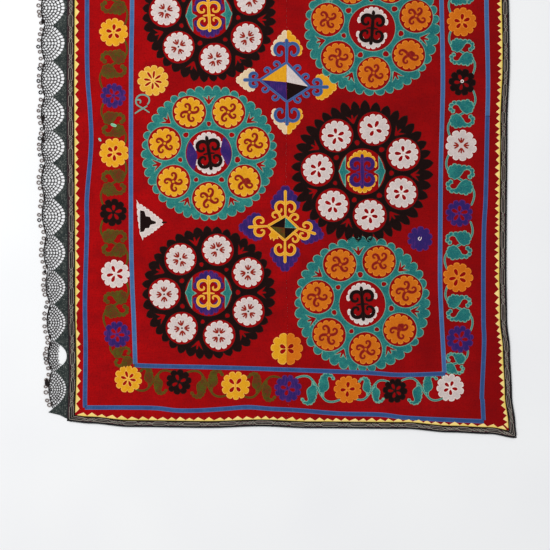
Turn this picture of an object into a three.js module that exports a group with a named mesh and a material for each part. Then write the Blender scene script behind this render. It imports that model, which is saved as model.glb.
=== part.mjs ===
// Suzani: two embroidered red cotton panels sewn side by side, edged with folded yellow points and a dark braided
// tape, with a crocheted lace edging down the left side. It lies flat, face up, on a surface.
// Millimetres. +X is to the right across the face, +Y to its head, +Z off the surface. The origin is the middle of
// the underside.
import * as THREE from 'three';

const GAP = 0.3; // between neighbouring pieces
const PANEL_THICKNESS = 1.2;
const POINTS_THICKNESS = 1.0; // folded cotton
const TAPE_THICKNESS = 2.8;
const LACE_THICKNESS = 1.6;

// The cloth's outline is the outer edge of the tape. Each table gives one side at a few places.
const LEFT_SIDE = [
  { y: -1023, x: -648 },
  { y: -865, x: -643 },
  { y: -650, x: -647 },
  { y: 0, x: -650 },
  { y: 600, x: -647 },
  { y: 1055, x: -652 },
];
const RIGHT_SIDE = [
  { y: -1076, x: 746 },
  { y: -1035, x: 742 },
  { y: -942, x: 731 },
  { y: -803, x: 725 },
  { y: -710, x: 716 },
  { y: -570, x: 714 },
  { y: -105, x: 717 },
  { y: 90, x: 724 },
  { y: 520, x: 717 },
  { y: 900, x: 723 },
  { y: 1076, x: 737 },
];
const FOOT_SIDE = [
  { x: -651, y: -1023 },
  { x: -577, y: -1030 },
  { x: -452, y: -1041 },
  { x: -205, y: -1044 },
  { x: -50, y: -1039 },
  { x: 105, y: -1045 },
  { x: 400, y: -1047 },
  { x: 540, y: -1058 },
  { x: 663, y: -1063 },
  { x: 746, y: -1076 },
];
const HEAD_SIDE = [
  { x: -652, y: 1050 },
  { x: -400, y: 1059 },
  { x: 0, y: 1062 },
  { x: 420, y: 1060 },
  { x: 737, y: 1076 },
];
const TAPE_WIDTH = { left: 25, right: 22, foot: 21, head: 21 };

// The seam between the two panels wanders a little.
const SEAM = [
  { y: -1040, x: 36 },
  { y: -800, x: 37 },
  { y: -420, x: 29 },
  { y: 30, x: 33 },
  { y: 1060, x: 34 },
];
const PANEL_CELLS = { across: 11, along: 35 }; // every piece along a side has its corners at these places

// Low swells where the cloth doesn't lie quite flat. Each is an oval hump, long in the direction of its angle, and
// stays a cell clear of the cloth's rim.
const SWELLS = [
  { x: -470, y: -850, degrees: 38, halfLength: 105, halfWidth: 60, height: 3.0 },
  { x: -475, y: -450, degrees: 8, halfLength: 85, halfWidth: 60, height: 2.6 },
  { x: 30, y: -700, degrees: 88, halfLength: 250, halfWidth: 75, height: 2.2 },
  { x: 470, y: -700, degrees: 74, halfLength: 210, halfWidth: 80, height: 3.2 },
  { x: 545, y: -850, degrees: 118, halfLength: 105, halfWidth: 60, height: 2.6 },
  { x: 210, y: -890, degrees: 4, halfLength: 190, halfWidth: 62, height: 2.0 },
  { x: -230, y: -60, degrees: 12, halfLength: 230, halfWidth: 75, height: 2.4 },
  { x: 430, y: 60, degrees: 150, halfLength: 200, halfWidth: 80, height: 2.8 },
  { x: -330, y: 540, degrees: 100, halfLength: 260, halfWidth: 80, height: 3.0 },
  { x: 330, y: 620, degrees: 60, halfLength: 240, halfWidth: 75, height: 2.8 },
  { x: -60, y: 890, degrees: 6, halfLength: 260, halfWidth: 70, height: 2.2 },
];

const POINT_PITCH = 29;
const POINT_HEIGHT = { left: 17, right: 16, foot: 13, head: 13 };
const POINT_BAND = 2; // width of the strip that joins the points, up to the tape
const POINT_CORNER_CLEARANCE = 7; // from an inner corner of the tape to the first point
const POINT_UNEVENNESS = { height: 0.12, slant: 0.1, turn: 2.1 };

// The lace, from the foot to the head: each scallop's height, and how many rows of the net are open in it.
const LACE_FOOT = -983;
const SCALLOPS = [
  { height: 115, rows: 4 },
  { height: 94, rows: 2 }, // the net has torn away from the heading here
  { height: 113, rows: 4 },
  { height: 105, rows: 4 },
  { height: 109, rows: 4 },
  { height: 115, rows: 4 },
  { height: 109, rows: 4 },
  { height: 100, rows: 4 },
  { height: 106, rows: 4 },
];
const UNSEEN_SCALLOPS = { count: 9, height: 110, rows: 4 };
const LACE_EDGE = [
  { y: -990, x: -704 },
  { y: -840, x: -708 },
  { y: -660, x: -712 },
  { y: -500, x: -721 },
  { y: -340, x: -728 },
  { y: 30, x: -729 },
  { y: 990, x: -727 },
];
const LACE_NOTCH = 11; // how far the outer edge draws in between two scallops
const LACE_ENDS = { slant: 14, corner: 33, overlap: 12 };
const NET = { pitch: 16, halfHole: 5.4, longest: 5, rowShare: 5.6, holeShare: 0.68 };
const PICOTS = { perScallop: 5, radius: 5.6, neck: 2.4, stalk: 9.2, sides: 6, turn: 1.7, unevenness: 2.2 };
const TEAR = [
  { x: -671, y: -803 },
  { x: -666, y: -792 },
  { x: -655, y: -791 },
  { x: -654, y: -812 },
  { x: -652, y: -823 },
  { x: -655, y: -848 },
  { x: -661, y: -855 },
  { x: -668, y: -845 },
  { x: -672, y: -825 },
];

const redCotton = new THREE.MeshStandardMaterial({ color: 0x9c1418, roughness: 0.85, metalness: 0 });
const yellowCotton = new THREE.MeshStandardMaterial({ color: 0xeecf74, roughness: 0.85, metalness: 0 });
const braidedTape = new THREE.MeshStandardMaterial({ color: 0x3a3934, roughness: 0.8, metalness: 0 });
const laceYarn = new THREE.MeshStandardMaterial({ color: 0x37413f, roughness: 0.9, metalness: 0 });

/** Reads a side's table: the other coordinate at a place along it, eased between the rows. */
function along(table, from, to, place) {
  const last = table.length - 1;
  const next = Math.max(1, Math.min(last, table.findIndex((row) => row[from] >= place)));
  const [a, b] = place > table[last][from] ? [table[last], table[last]] : [table[next - 1], table[next]];
  const share = a === b ? 0 : THREE.MathUtils.smoothstep(place, a[from], b[from]);
  return THREE.MathUtils.lerp(a[to], b[to], share);
}

const leftOuter = (y) => along(LEFT_SIDE, 'y', 'x', y);
const rightOuter = (y) => along(RIGHT_SIDE, 'y', 'x', y);
const footOuter = (x) => along(FOOT_SIDE, 'x', 'y', x);
const headOuter = (x) => along(HEAD_SIDE, 'x', 'y', x);
const leftInner = (y) => leftOuter(y) + TAPE_WIDTH.left;
const rightInner = (y) => rightOuter(y) - TAPE_WIDTH.right;
const footInner = (x) => footOuter(x) + TAPE_WIDTH.foot;
const headInner = (x) => headOuter(x) - TAPE_WIDTH.head;

/** The corner where an upright side meets a level one. */
function corner(upright, level) {
  let y = level(0);
  for (let pass = 0; pass < 4; pass++) y = level(upright(y));
  return new THREE.Vector2(upright(y), y);
}

/** Evenly spaced places from one value to another, both included. */
function places(from, to, count) {
  return Array.from({ length: count + 1 }, (_, i) => THREE.MathUtils.lerp(from, to, i / count));
}

/** The places along a side where a panel's rim has its corners, between two ends of the side. */
function rimPlaces(upright, start, end) {
  if (upright) return places(start.y, end.y, PANEL_CELLS.along);
  const seam = along(SEAM, 'y', 'x', start.y);
  return [...places(start.x, seam, PANEL_CELLS.across), ...places(seam, end.x, PANEL_CELLS.across).slice(1)];
}

/** The same places, with the first and last drawn in by a little. */
function drawnIn(list, trim) {
  return [list[0] + trim, ...list.slice(1, -1), list.at(-1) - trim];
}

/** How far the cloth is lifted off the surface at a place. */
function swell(x, y) {
  let lift = 0;
  for (const hump of SWELLS) {
    const angle = THREE.MathUtils.degToRad(hump.degrees);
    const [dx, dy] = [x - hump.x, y - hump.y];
    const lengthwise = (dx * Math.cos(angle) + dy * Math.sin(angle)) / hump.halfLength;
    const crosswise = (dy * Math.cos(angle) - dx * Math.sin(angle)) / hump.halfWidth;
    const out = lengthwise ** 2 + crosswise ** 2;
    if (out < 1) lift += hump.height * (1 - out) ** 2;
  }
  return lift;
}

/** A flat piece with the given outline, from one height to a thickness above it. */
function flatPiece(name, outline, holes, bottom, thickness, material) {
  const shape = new THREE.Shape(outline);
  shape.holes = holes.map((hole) => new THREE.Path(hole));
  const mesh = new THREE.Mesh(new THREE.ExtrudeGeometry(shape, { depth: thickness, bevelEnabled: false }), material);
  mesh.name = name;
  mesh.position.z = bottom;
  return mesh;
}

/** One width of cotton between two upright edges, on the cloth's swells. */
function panel(name, leftEdge, rightEdge) {
  const { lerp } = THREE.MathUtils;
  const [footRim, headRim] = [(x) => footInner(x) + GAP, (x) => headInner(x) - GAP];
  const [footLeft, footRight] = [corner(leftEdge, footRim), corner(rightEdge, footRim)];
  const [headLeft, headRight] = [corner(leftEdge, headRim), corner(rightEdge, headRim)];
  const geometry = new THREE.BoxGeometry(1, 1, 1, PANEL_CELLS.across, PANEL_CELLS.along, 1);
  const corners = geometry.attributes.position;
  for (let i = 0; i < corners.count; i++) {
    const [across, up] = [corners.getX(i) + 0.5, corners.getY(i) + 0.5];
    const [leftX, rightX] = [leftEdge(lerp(footLeft.y, headLeft.y, up)), rightEdge(lerp(footRight.y, headRight.y, up))];
    const [footX, headX] = [lerp(footLeft.x, footRight.x, across), lerp(headLeft.x, headRight.x, across)];
    const [x, y] = [lerp(leftX, rightX, across), lerp(footRim(footX), headRim(headX), up)];
    corners.setXYZ(i, x, y, swell(x, y) + (corners.getZ(i) > 0 ? PANEL_THICKNESS : 0));
  }
  geometry.computeVertexNormals();
  const mesh = new THREE.Mesh(geometry, redCotton);
  mesh.name = name;
  return mesh;
}

/** A point on a side's edge, moved into the cloth by a distance. */
function onEdge(side, edge, place, distance) {
  const across = edge(place) + side.inward * distance;
  return side.upright ? new THREE.Vector2(across, place) : new THREE.Vector2(place, across);
}

/** The outline of one side's tape between its outer and inner edge, with mitred ends. */
function tapeOutline(side, start, end) {
  const out = drawnIn(rimPlaces(side.upright, start.outer, end.outer), GAP);
  const back = drawnIn(rimPlaces(side.upright, start.inner, end.inner), GAP).reverse();
  return [
    ...out.map((place) => onEdge(side, side.outer, place, 0)),
    ...back.map((place) => onEdge(side, side.inner, place, 0)),
  ];
}

/** The outline of one side's strip of folded points, which starts at the tape and aims into the cloth. */
function pointsOutline(side, start, end, usualHeight) {
  const rim = drawnIn(rimPlaces(side.upright, start, end), 2 * GAP);
  const at = (place, height) => onEdge(side, side.inner, place, GAP + height);
  const [first, last] = [rim[0] + POINT_CORNER_CLEARANCE, rim.at(-1) - POINT_CORNER_CLEARANCE];
  const count = Math.round((last - first) / POINT_PITCH);
  const pitch = (last - first) / count;
  const outline = rim.map((place) => at(place, 0));
  outline.push(at(last, POINT_BAND));
  for (let i = count - 1; i >= 0; i--) {
    const height = usualHeight * (1 + POINT_UNEVENNESS.height * Math.sin(i * POINT_UNEVENNESS.turn));
    const slant = POINT_UNEVENNESS.slant * Math.cos(i * POINT_UNEVENNESS.turn);
    outline.push(at(first + (i + 0.5 + slant) * pitch, height), at(first + i * pitch, POINT_BAND));
  }
  return outline;
}

/** The scallops from the foot to the head, each with the height of its middle. */
function scallops() {
  const unseen = Array.from({ length: UNSEEN_SCALLOPS.count }, () => UNSEEN_SCALLOPS);
  let top = LACE_FOOT;
  return [...SCALLOPS, ...unseen].map((row) => {
    top += row.height;
    return { ...row, middle: top - row.height / 2 };
  });
}

/** The lace's outer edge at a height within a scallop. */
function laceOuter(scallop, y) {
  const share = (2 * (y - scallop.middle)) / scallop.height;
  return along(LACE_EDGE, 'y', 'x', y) + LACE_NOTCH * (1 - Math.cos((Math.PI / 2) * share));
}

/** The picots round one scallop's outer edge, from the head to the foot: small knobs on short necks. */
function picotEdge(scallop) {
  const points = [];
  for (let i = 0; i < PICOTS.perScallop; i++) {
    const y = scallop.middle + scallop.height * (0.5 - (i + 0.5) / PICOTS.perScallop);
    const x = laceOuter(scallop, y);
    const reach = PICOTS.stalk + PICOTS.unevenness * Math.sin(y * PICOTS.turn);
    points.push(new THREE.Vector2(x, y + PICOTS.neck));
    for (let side = 1; side < PICOTS.sides; side++) {
      const angle = Math.PI * (0.1 + (1.8 * side) / PICOTS.sides);
      points.push(new THREE.Vector2(x - reach + PICOTS.radius * Math.cos(angle), y + PICOTS.radius * Math.sin(angle)));
    }
    points.push(new THREE.Vector2(x, y - PICOTS.neck));
  }
  return points;
}

/** The open diamonds of one scallop's net, in rows that narrow towards the heading. */
function netHoles(scallop) {
  const holes = [];
  for (let row = 0; row < scallop.rows; row++) {
    const count = NET.longest - row;
    for (let i = 0; i < count; i++) {
      const y = scallop.middle + NET.pitch * (i - (count - 1) / 2);
      const rowStep = (leftOuter(y) - along(LACE_EDGE, 'y', 'x', y)) / NET.rowShare;
      const x = laceOuter(scallop, y) + rowStep * (row + 1);
      const reach = rowStep * NET.holeShare;
      holes.push([
        new THREE.Vector2(x - reach, y),
        new THREE.Vector2(x, y + NET.halfHole),
        new THREE.Vector2(x + reach, y),
        new THREE.Vector2(x, y - NET.halfHole),
      ]);
    }
  }
  return holes;
}

/** The crocheted edging in one piece: heading, net and picots. */
function laceEdging() {
  const rows = scallops();
  const top = rows.at(-1).middle + rows.at(-1).height / 2;
  const [foot, head] = [LACE_FOOT - LACE_ENDS.corner, top + LACE_ENDS.corner];
  const between = rimPlaces(true, outer.footLeft, outer.headLeft).filter((y) => y > foot && y < head);
  const heading = [foot, ...between, head].map((y) => onEdge(SIDES.left, leftOuter, y, -GAP));
  const headEdge = along(LACE_EDGE, 'y', 'x', top);
  const footEdge = along(LACE_EDGE, 'y', 'x', LACE_FOOT);
  const outline = [
    ...heading,
    new THREE.Vector2(headEdge, top + LACE_ENDS.slant),
    ...rows.toReversed().flatMap(picotEdge),
    new THREE.Vector2(footEdge, LACE_FOOT - LACE_ENDS.overlap),
  ];
  const tear = TEAR.map((spot) => new THREE.Vector2(spot.x, spot.y));
  const holes = [...rows.flatMap(netHoles), tear];
  return flatPiece('lace_edging', outline, holes, 0, LACE_THICKNESS, laceYarn);
}

const outer = {
  footLeft: corner(leftOuter, footOuter),
  footRight: corner(rightOuter, footOuter),
  headLeft: corner(leftOuter, headOuter),
  headRight: corner(rightOuter, headOuter),
};
const inner = {
  footLeft: corner(leftInner, footInner),
  footRight: corner(rightInner, footInner),
  headLeft: corner(leftInner, headInner),
  headRight: corner(rightInner, headInner),
};

// Each side: whether it is upright, its outer and inner edge, which way is into the cloth, and its two ends.
const SIDES = {
  left: { upright: true, outer: leftOuter, inner: leftInner, inward: 1, ends: ['footLeft', 'headLeft'] },
  right: { upright: true, outer: rightOuter, inner: rightInner, inward: -1, ends: ['footRight', 'headRight'] },
  foot: { upright: false, outer: footOuter, inner: footInner, inward: 1, ends: ['footLeft', 'footRight'] },
  head: { upright: false, outer: headOuter, inner: headInner, inward: -1, ends: ['headLeft', 'headRight'] },
};

const suzani = new THREE.Group();
suzani.add(panel('panel_left', (y) => leftInner(y) + GAP, (y) => along(SEAM, 'y', 'x', y) - GAP / 2));
suzani.add(panel('panel_right', (y) => along(SEAM, 'y', 'x', y) + GAP / 2, (y) => rightInner(y) - GAP));
for (const [name, side] of Object.entries(SIDES)) {
  const [start, end] = side.ends.map((spot) => ({ outer: outer[spot], inner: inner[spot] }));
  const tape = tapeOutline(side, start, end);
  suzani.add(flatPiece(`tape_${name}`, tape, [], 0, TAPE_THICKNESS, braidedTape));
  const points = pointsOutline(side, start.inner, end.inner, POINT_HEIGHT[name]);
  suzani.add(flatPiece(`points_${name}`, points, [], PANEL_THICKNESS + GAP, POINTS_THICKNESS, yellowCotton));
}
suzani.add(laceEdging());

export default suzani;
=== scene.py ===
"""Dressed model of a large suzani: two red cotton panels covered with chain-stitched medallions.

The cloth lies flat, face up. Sizes are in millimetres until a mesh is finished, and then in metres.
+X is to the right across the face, +Y to the head of the cloth and +Z off the surface.
"""
import logging
import math
import random
from dataclasses import dataclass, field, replace
from enum import Enum
from typing import Callable, Iterable, Sequence

import bmesh
import bpy
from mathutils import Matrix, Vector
from mathutils.kdtree import KDTree

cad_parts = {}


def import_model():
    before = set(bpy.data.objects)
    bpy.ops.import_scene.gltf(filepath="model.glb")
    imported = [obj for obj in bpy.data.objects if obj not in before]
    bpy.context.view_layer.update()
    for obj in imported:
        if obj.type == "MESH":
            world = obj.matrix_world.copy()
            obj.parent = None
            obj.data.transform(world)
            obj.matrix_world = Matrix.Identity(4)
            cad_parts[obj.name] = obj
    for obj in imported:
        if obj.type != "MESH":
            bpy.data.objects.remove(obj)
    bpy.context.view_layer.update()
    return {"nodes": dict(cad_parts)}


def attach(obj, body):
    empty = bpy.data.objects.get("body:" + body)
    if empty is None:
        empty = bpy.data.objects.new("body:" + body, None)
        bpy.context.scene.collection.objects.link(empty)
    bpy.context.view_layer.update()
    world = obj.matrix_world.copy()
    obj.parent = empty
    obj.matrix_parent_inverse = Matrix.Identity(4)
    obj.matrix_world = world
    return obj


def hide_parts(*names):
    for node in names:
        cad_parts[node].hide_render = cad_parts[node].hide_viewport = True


LOG = logging.getLogger("suzani")
MM = 0.001
Point = tuple[float, float]
Loop = list[Point]
Colour = tuple[int, int, int]
FoldCorner = tuple[Point, float, tuple[float, float, float]]

# How far stitching goes into the cloth's face, in millimetres.
SUNK = -0.35
# Edges that fold by more than this, in radians, stay sharp.
SHARP = 0.6
# Red cotton where it shows between worn stitches.
SHOWING_THROUGH = (118, 26, 14)


def lerp(a: float, b: float, share: float) -> float:
    """Returns the value that lies a share of the way from a to b."""
    return a + (b - a) * share


def turned(point: Point, degrees: float) -> Point:
    """Returns a point turned about the origin."""
    c, s = math.cos(math.radians(degrees)), math.sin(math.radians(degrees))
    return point[0] * c - point[1] * s, point[0] * s + point[1] * c


def spun(points: Iterable[Point], degrees: float) -> Loop:
    """Returns points turned about the origin."""
    return [turned(point, degrees) for point in points]


def meeting(upright: Callable[[float], float], level: Callable[[float], float]) -> Point:
    """Returns the corner where an upright edge meets a level one."""
    y = level(0)
    for _ in range(4):
        y = level(upright(y))
    return upright(y), y


def spaced(start: float, end: float, step: float) -> list[float]:
    """Returns evenly spaced values from start to end, about a step apart."""
    count = max(1, round(abs(end - start) / step))
    return [lerp(start, end, i / count) for i in range(count + 1)]


# Finishes.


class Link:
    """A shader socket that arithmetic can be done on. Each operation adds a Math node."""

    def __init__(self, shade: "Shade", socket: bpy.types.NodeSocket) -> None:
        """Keeps the socket and the finish that it belongs to."""
        self.shade = shade
        self.socket = socket

    def maths(self, operation: str, *values: object) -> "Link":
        """Returns the result of a Math node on some values."""
        return self.shade.node("ShaderNodeMath", {"operation": operation}, dict(enumerate(values)))

    def __add__(self, other: object) -> "Link":
        """Returns the sum."""
        return self.maths("ADD", self, other)

    def __sub__(self, other: object) -> "Link":
        """Returns the difference."""
        return self.maths("SUBTRACT", self, other)

    def __rsub__(self, other: object) -> "Link":
        """Returns the difference, the other way round."""
        return self.maths("SUBTRACT", other, self)

    def __mul__(self, other: object) -> "Link":
        """Returns the product."""
        return self.maths("MULTIPLY", self, other)

    __radd__ = __add__
    __rmul__ = __mul__

    def sine(self) -> "Link":
        """Returns the sine."""
        return self.maths("SINE", self)

    def between(self, low: float, high: float) -> "Link":
        """Returns 0 below low, 1 above high and a straight line between them."""
        settings = {"clamp": True}
        return self.shade.node("ShaderNodeMapRange", settings, {0: self, 1: low, 2: high, 3: 0.0, 4: 1.0})


def linear(colour: Sequence[float]) -> tuple[float, float, float, float]:
    """Returns a screen colour, from 0 to 255, as scene-linear values."""
    parts = [c / 255 for c in colour]
    parts = [c / 12.92 if c <= 0.04045 else ((c + 0.055) / 1.055) ** 2.4 for c in parts]
    return parts[0], parts[1], parts[2], 1.0


class Shade:
    """A material's node tree while it is written."""

    def __init__(self, name: str) -> None:
        """Starts an empty material."""
        self.material = bpy.data.materials.new(name)
        self.material.use_nodes = True
        self.tree = self.material.node_tree
        self.tree.nodes.clear()

    def node(self, kind: str, settings: dict, inputs: dict, output: int = 0) -> Link:
        """Adds a node.

        Args:
            kind: the node's type.
            settings: its own settings, set first.
            inputs: a value or a link for each socket that isn't left as it is.
            output: which output is wanted.

        Returns:
            That output.
        """
        node = self.tree.nodes.new(kind)
        for key, value in settings.items():
            setattr(node, key, value)
        for key, value in inputs.items():
            if isinstance(value, Link):
                self.tree.links.new(value.socket, node.inputs[key])
            else:
                node.inputs[key].default_value = value
        return Link(self, node.outputs[output])

    def place(self) -> Link:
        """Returns the place on the object, in metres."""
        return self.node("ShaderNodeTexCoord", {}, {}, 3)

    def stitch(self) -> Link:
        """Returns the piece's own stitch attribute: across the rows, along them, and how near the outline."""
        return self.node("ShaderNodeAttribute", {"attribute_name": "stitch"}, {}, 1)

    def part(self, vector: Link, axis: int) -> Link:
        """Returns one component of a vector."""
        return self.node("ShaderNodeSeparateXYZ", {}, {0: vector}, axis)

    def stretched(self, vector: Link, scale: Sequence[float]) -> Link:
        """Returns a vector multiplied by another."""
        return self.node("ShaderNodeVectorMath", {"operation": "MULTIPLY"}, {0: vector, 1: tuple(scale)})

    def vector(self, *parts: Link) -> Link:
        """Returns a vector of its components."""
        return self.node("ShaderNodeCombineXYZ", {}, dict(enumerate(parts)))

    def noise(self, vector: Link, scale: float, detail: float = 2.0) -> Link:
        """Returns soft noise from about 0.3 to 0.7."""
        return self.node("ShaderNodeTexNoise", {}, {"Vector": vector, "Scale": scale, "Detail": detail})

    def mix(self, share: Link, first: object, second: object) -> Link:
        """Returns a blend of two colours, each a link or a screen colour."""
        pair = [c if isinstance(c, Link) else linear(c) for c in (first, second)]
        return self.node("ShaderNodeMix", {"data_type": "RGBA"}, {0: share, 6: pair[0], 7: pair[1]}, 2)

    def finish(
        self, colour: Link, roughness: Link, height: Link, depth: float, sheen: float, gloss: float
    ) -> bpy.types.Material:
        """Closes the tree with a cloth surface.

        Args:
            colour: the base colour.
            roughness: the roughness.
            height: the relief, from 0 to 1.
            depth: how deep the relief is, in millimetres.
            sheen: the weight of the soft sheen of fibres.
            gloss: the specular level.

        Returns:
            The material.
        """
        bump = self.node("ShaderNodeBump", {}, {"Strength": 0.8, "Distance": depth * MM, "Height": height})
        surface = self.node(
            "ShaderNodeBsdfPrincipled",
            {},
            {
                "Base Color": colour,
                "Roughness": roughness,
                "Normal": bump,
                "Sheen Weight": sheen,
                "Sheen Roughness": 0.5,
                "Specular IOR Level": gloss,
            },
        )
        output = self.tree.nodes.new("ShaderNodeOutputMaterial")
        self.tree.links.new(surface.socket, output.inputs["Surface"])
        return self.material


class Finish:
    """A finish whose material is made when it is first asked for."""

    def title(self) -> str:
        """Returns the material's name."""
        raise NotImplementedError

    def written(self, shade: Shade) -> bpy.types.Material:
        """Returns the material, with its nodes written."""
        raise NotImplementedError

    def material(self) -> bpy.types.Material:
        """Returns the material, made once."""
        return bpy.data.materials.get(self.title()) or self.written(Shade(self.title()))


class Rows(Enum):
    """How the rows of chain stitch run in a patch."""

    ROUND = "round"
    UPRIGHT = "upright"
    ACROSS = "across"


@dataclass(frozen=True)
class Thread(Finish):
    """Silk thread laid in rows of chain stitch, with painted shade between the rows and towards the right."""

    name: str
    colour: Colour
    outline: Colour
    # The darker tone: for the thread's own streaks and specks, and also for painted shade between the rows
    # and towards the right.
    deep: Colour
    streak: float
    worn: float = 0.0
    gloss: float = 0.14
    rows: Rows = Rows.ROUND
    pitch: float = 2.3

    def upright(self) -> "Thread":
        """Returns the same thread laid in straight rows."""
        return replace(self, rows=Rows.UPRIGHT)

    def ladder(self) -> "Thread":
        """Returns the same thread laid in rows across a band."""
        return replace(self, rows=Rows.ACROSS, streak=0.85)

    def title(self) -> str:
        """Returns the material's name."""
        return f"thread_{self.name}_{self.rows.value}"

    def written(self, shade: Shade) -> bpy.types.Material:
        """Returns the material, with its nodes written."""
        place, stitch = shade.place(), shade.stitch()
        across, along, inside = (shade.part(stitch, axis) for axis in range(3))
        if self.rows is Rows.ACROSS:
            across, along = along, across
        upright = (across * 0.32, along * 0.03)
        if self.rows is Rows.ROUND:
            across = (across * across + along * along).maths("SQRT", across * across + along * along)
            upright = (across * 0.7, along * 0.2)
        grain = shade.noise(shade.vector(*upright), 1.0, 3.0)
        patchy = shade.noise(place, 34.0, 3.0)
        speck = shade.noise(place, 230.0, 2.0)
        dots = shade.noise(place, 410.0, 1.0)
        wobble = shade.noise(place, 160.0) * 1.5
        ridge = ((across + wobble) * (2 * math.pi / self.pitch)).sine() * 0.5 + 0.5
        fuzz = shade.noise(place, 640.0, 2.0)
        # Painted shade: the thread darkens towards the right (+X), where the light falls off. tone adds it to
        # the thread's own streaks.
        far = shade.part(place, 0).between(-0.25, 0.65) * 0.35
        tone = (grain * 0.8 + patchy * 0.6).between(0.5, 0.9) * self.streak * 1.7 + far
        colour = shade.mix(tone.between(0.0, 1.0), self.colour, self.deep)
        colour = shade.mix(speck.between(0.42, 0.68) * 0.55, colour, self.deep)
        colour = shade.mix(dots.between(0.55, 0.75) * 0.3, colour, self.outline)
        # Painted shade: darker in the valleys between the rows of stitches.
        colour = shade.mix((1 - ridge) * 0.32 * fuzz.between(0.3, 0.6), colour, self.deep)
        worn = (speck * 0.6 + patchy * 0.6).between(0.52, 0.72) * self.worn
        colour = shade.mix(worn, colour, SHOWING_THROUGH)
        rim = (1 - inside.between(0.9, 2.6)) * fuzz.between(0.15, 0.5)
        colour = shade.mix(rim * 0.85, colour, self.outline)
        relief = ridge * 0.5 + fuzz * 0.5 + inside.between(0.0, 1.1) * 1.1
        return shade.finish(colour, patchy * 0.2 + 0.6, relief, 0.4, 0.02, self.gloss)


TEAL = Thread("teal", (46, 142, 128), (120, 176, 152), (8, 92, 96), 0.6)
BLACK = Thread("black", (30, 14, 12), (44, 22, 20), (16, 6, 6), 0.3, gloss=0.04)
WHITE = Thread("white", (222, 208, 204), (236, 222, 214), (178, 166, 162), 0.35)
CREAM = Thread("cream", (226, 204, 168), (236, 216, 186), (196, 170, 132), 0.35)
YELLOW = Thread("yellow", (232, 168, 22), (240, 184, 84), (198, 134, 6), 0.4)
ORANGE = Thread("orange", (218, 118, 4), (228, 138, 40), (182, 90, 2), 0.4)
STRAW = Thread("straw", (228, 176, 58), (240, 196, 104), (198, 142, 30), 0.4)
PURPLE = Thread("purple", (88, 38, 118), (104, 30, 96), (36, 20, 92), 1.0)
OLIVE = Thread("olive", (94, 86, 4), (92, 74, 6), (52, 54, 0), 0.8, 0.6)
BLUE = Thread("blue", (54, 96, 148), (84, 104, 158), (38, 70, 120), 0.5)
PALE_BLUE = Thread("pale_blue", (78, 116, 160), (100, 128, 170), (52, 92, 142), 0.6)
CRIMSON = Thread("crimson", (138, 16, 6), (150, 34, 8), (112, 8, 4), 0.4)
MINT = Thread("mint", (120, 190, 150), (170, 215, 190), (70, 150, 110), 0.5)
PALE_TEAL = Thread("pale_teal", (92, 150, 138), (130, 170, 150), (56, 116, 108), 0.5)
# Cords and lace are meshed like stitching, but get their finish from a list, so any thread does.
ANY_THREAD = TEAL


@dataclass(frozen=True)
class RedCotton(Finish):
    """Hand-woven cotton, dyed red, a little uneven, with painted shade that darkens it towards the right."""

    # The two ends of a blend that follows the dye's unevenness and a painted shade, the darker end towards
    # the right (+X).
    bright_and_lit: Colour = (172, 4, 8)
    dull_and_shaded: Colour = (136, 4, 6)
    yarn: float = 1.3

    def title(self) -> str:
        """Returns the material's name."""
        return "red_cotton_weave"

    def written(self, shade: Shade) -> bpy.types.Material:
        """Returns the material, with its nodes written."""
        place = shade.place()
        across, up = shade.part(place, 0), shade.part(place, 1)
        dye = shade.noise(shade.stretched(place, (5.0, 3.0, 1.0)), 1.6, 3.0)
        slub = shade.noise(shade.stretched(place, (620.0, 20.0, 1.0)), 1.0, 2.0)
        weft = shade.noise(shade.stretched(place, (16.0, 380.0, 1.0)), 1.0, 3.0)
        speck = shade.noise(place, 210.0, 2.0)
        turns = 2 * math.pi / (self.yarn * MM)
        weave = (across * turns).sine() * (up * turns).sine() * 0.5 + 0.5
        # Uneven dye mixed with painted shade: the red gets duller towards the right (+X), where the light
        # falls off.
        side = (across * 0.7 + dye * 1.7).between(0.35, 1.45)
        colour = shade.mix(side, self.bright_and_lit, self.dull_and_shaded)
        colour = shade.mix((slub + weft - 1.0).between(-0.12, 0.3) * 0.28, colour, (104, 2, 8))
        blotch = shade.noise(shade.stretched(place, (14.0, 22.0, 1.0)), 1.0, 4.0)
        colour = shade.mix(blotch.between(0.42, 0.72) * 0.45, colour, (112, 4, 12))
        colour = shade.mix(speck.between(0.48, 0.75) * 0.45, colour, (98, 2, 4))
        colour = shade.mix(weave * 0.18, colour, (96, 2, 4))
        crease = shade.noise(shade.stretched(place, (2.2, 22.0, 1.0)), 1.0, 2.0)
        relief = weave * 0.10 + (slub + weft) * 0.16 + crease * 2.2
        return shade.finish(colour, dye * 0.2 + 0.75, relief, 1.3, 0.02, 0.06)


@dataclass(frozen=True)
class YellowCotton(Finish):
    """Thin pale yellow cotton, folded into points, with painted shade along each point's base and a painted
    highlight towards its tip.
    """

    def title(self) -> str:
        """Returns the material's name."""
        return "yellow_cotton_folds"

    def written(self, shade: Shade) -> bpy.types.Material:
        """Returns the material, with its nodes written."""
        place, fold = shade.place(), shade.stitch()
        faded = shade.noise(place, 18.0, 3.0)
        weave = shade.noise(place, 900.0, 1.0)
        colour = shade.mix(faded.between(0.35, 0.65), (238, 208, 108), (240, 214, 138))
        colour = shade.mix(shade.part(fold, 0).between(0.0, 1.0) * 0.7, colour, (214, 186, 78))
        # Painted highlight: lighter towards each point's tip and on its left facet, which faces the light.
        colour = shade.mix(shade.part(fold, 2).between(0.55, 1.0) * 0.75, colour, (246, 206, 150))
        # Painted shade: darker along each point's base.
        colour = shade.mix(shade.part(fold, 1).between(0.6, 1.0) * 0.5, colour, (196, 156, 56))
        return shade.finish(colour, faded * 0.2 + 0.7, weave, 0.25, 0.15, 0.15)


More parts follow.
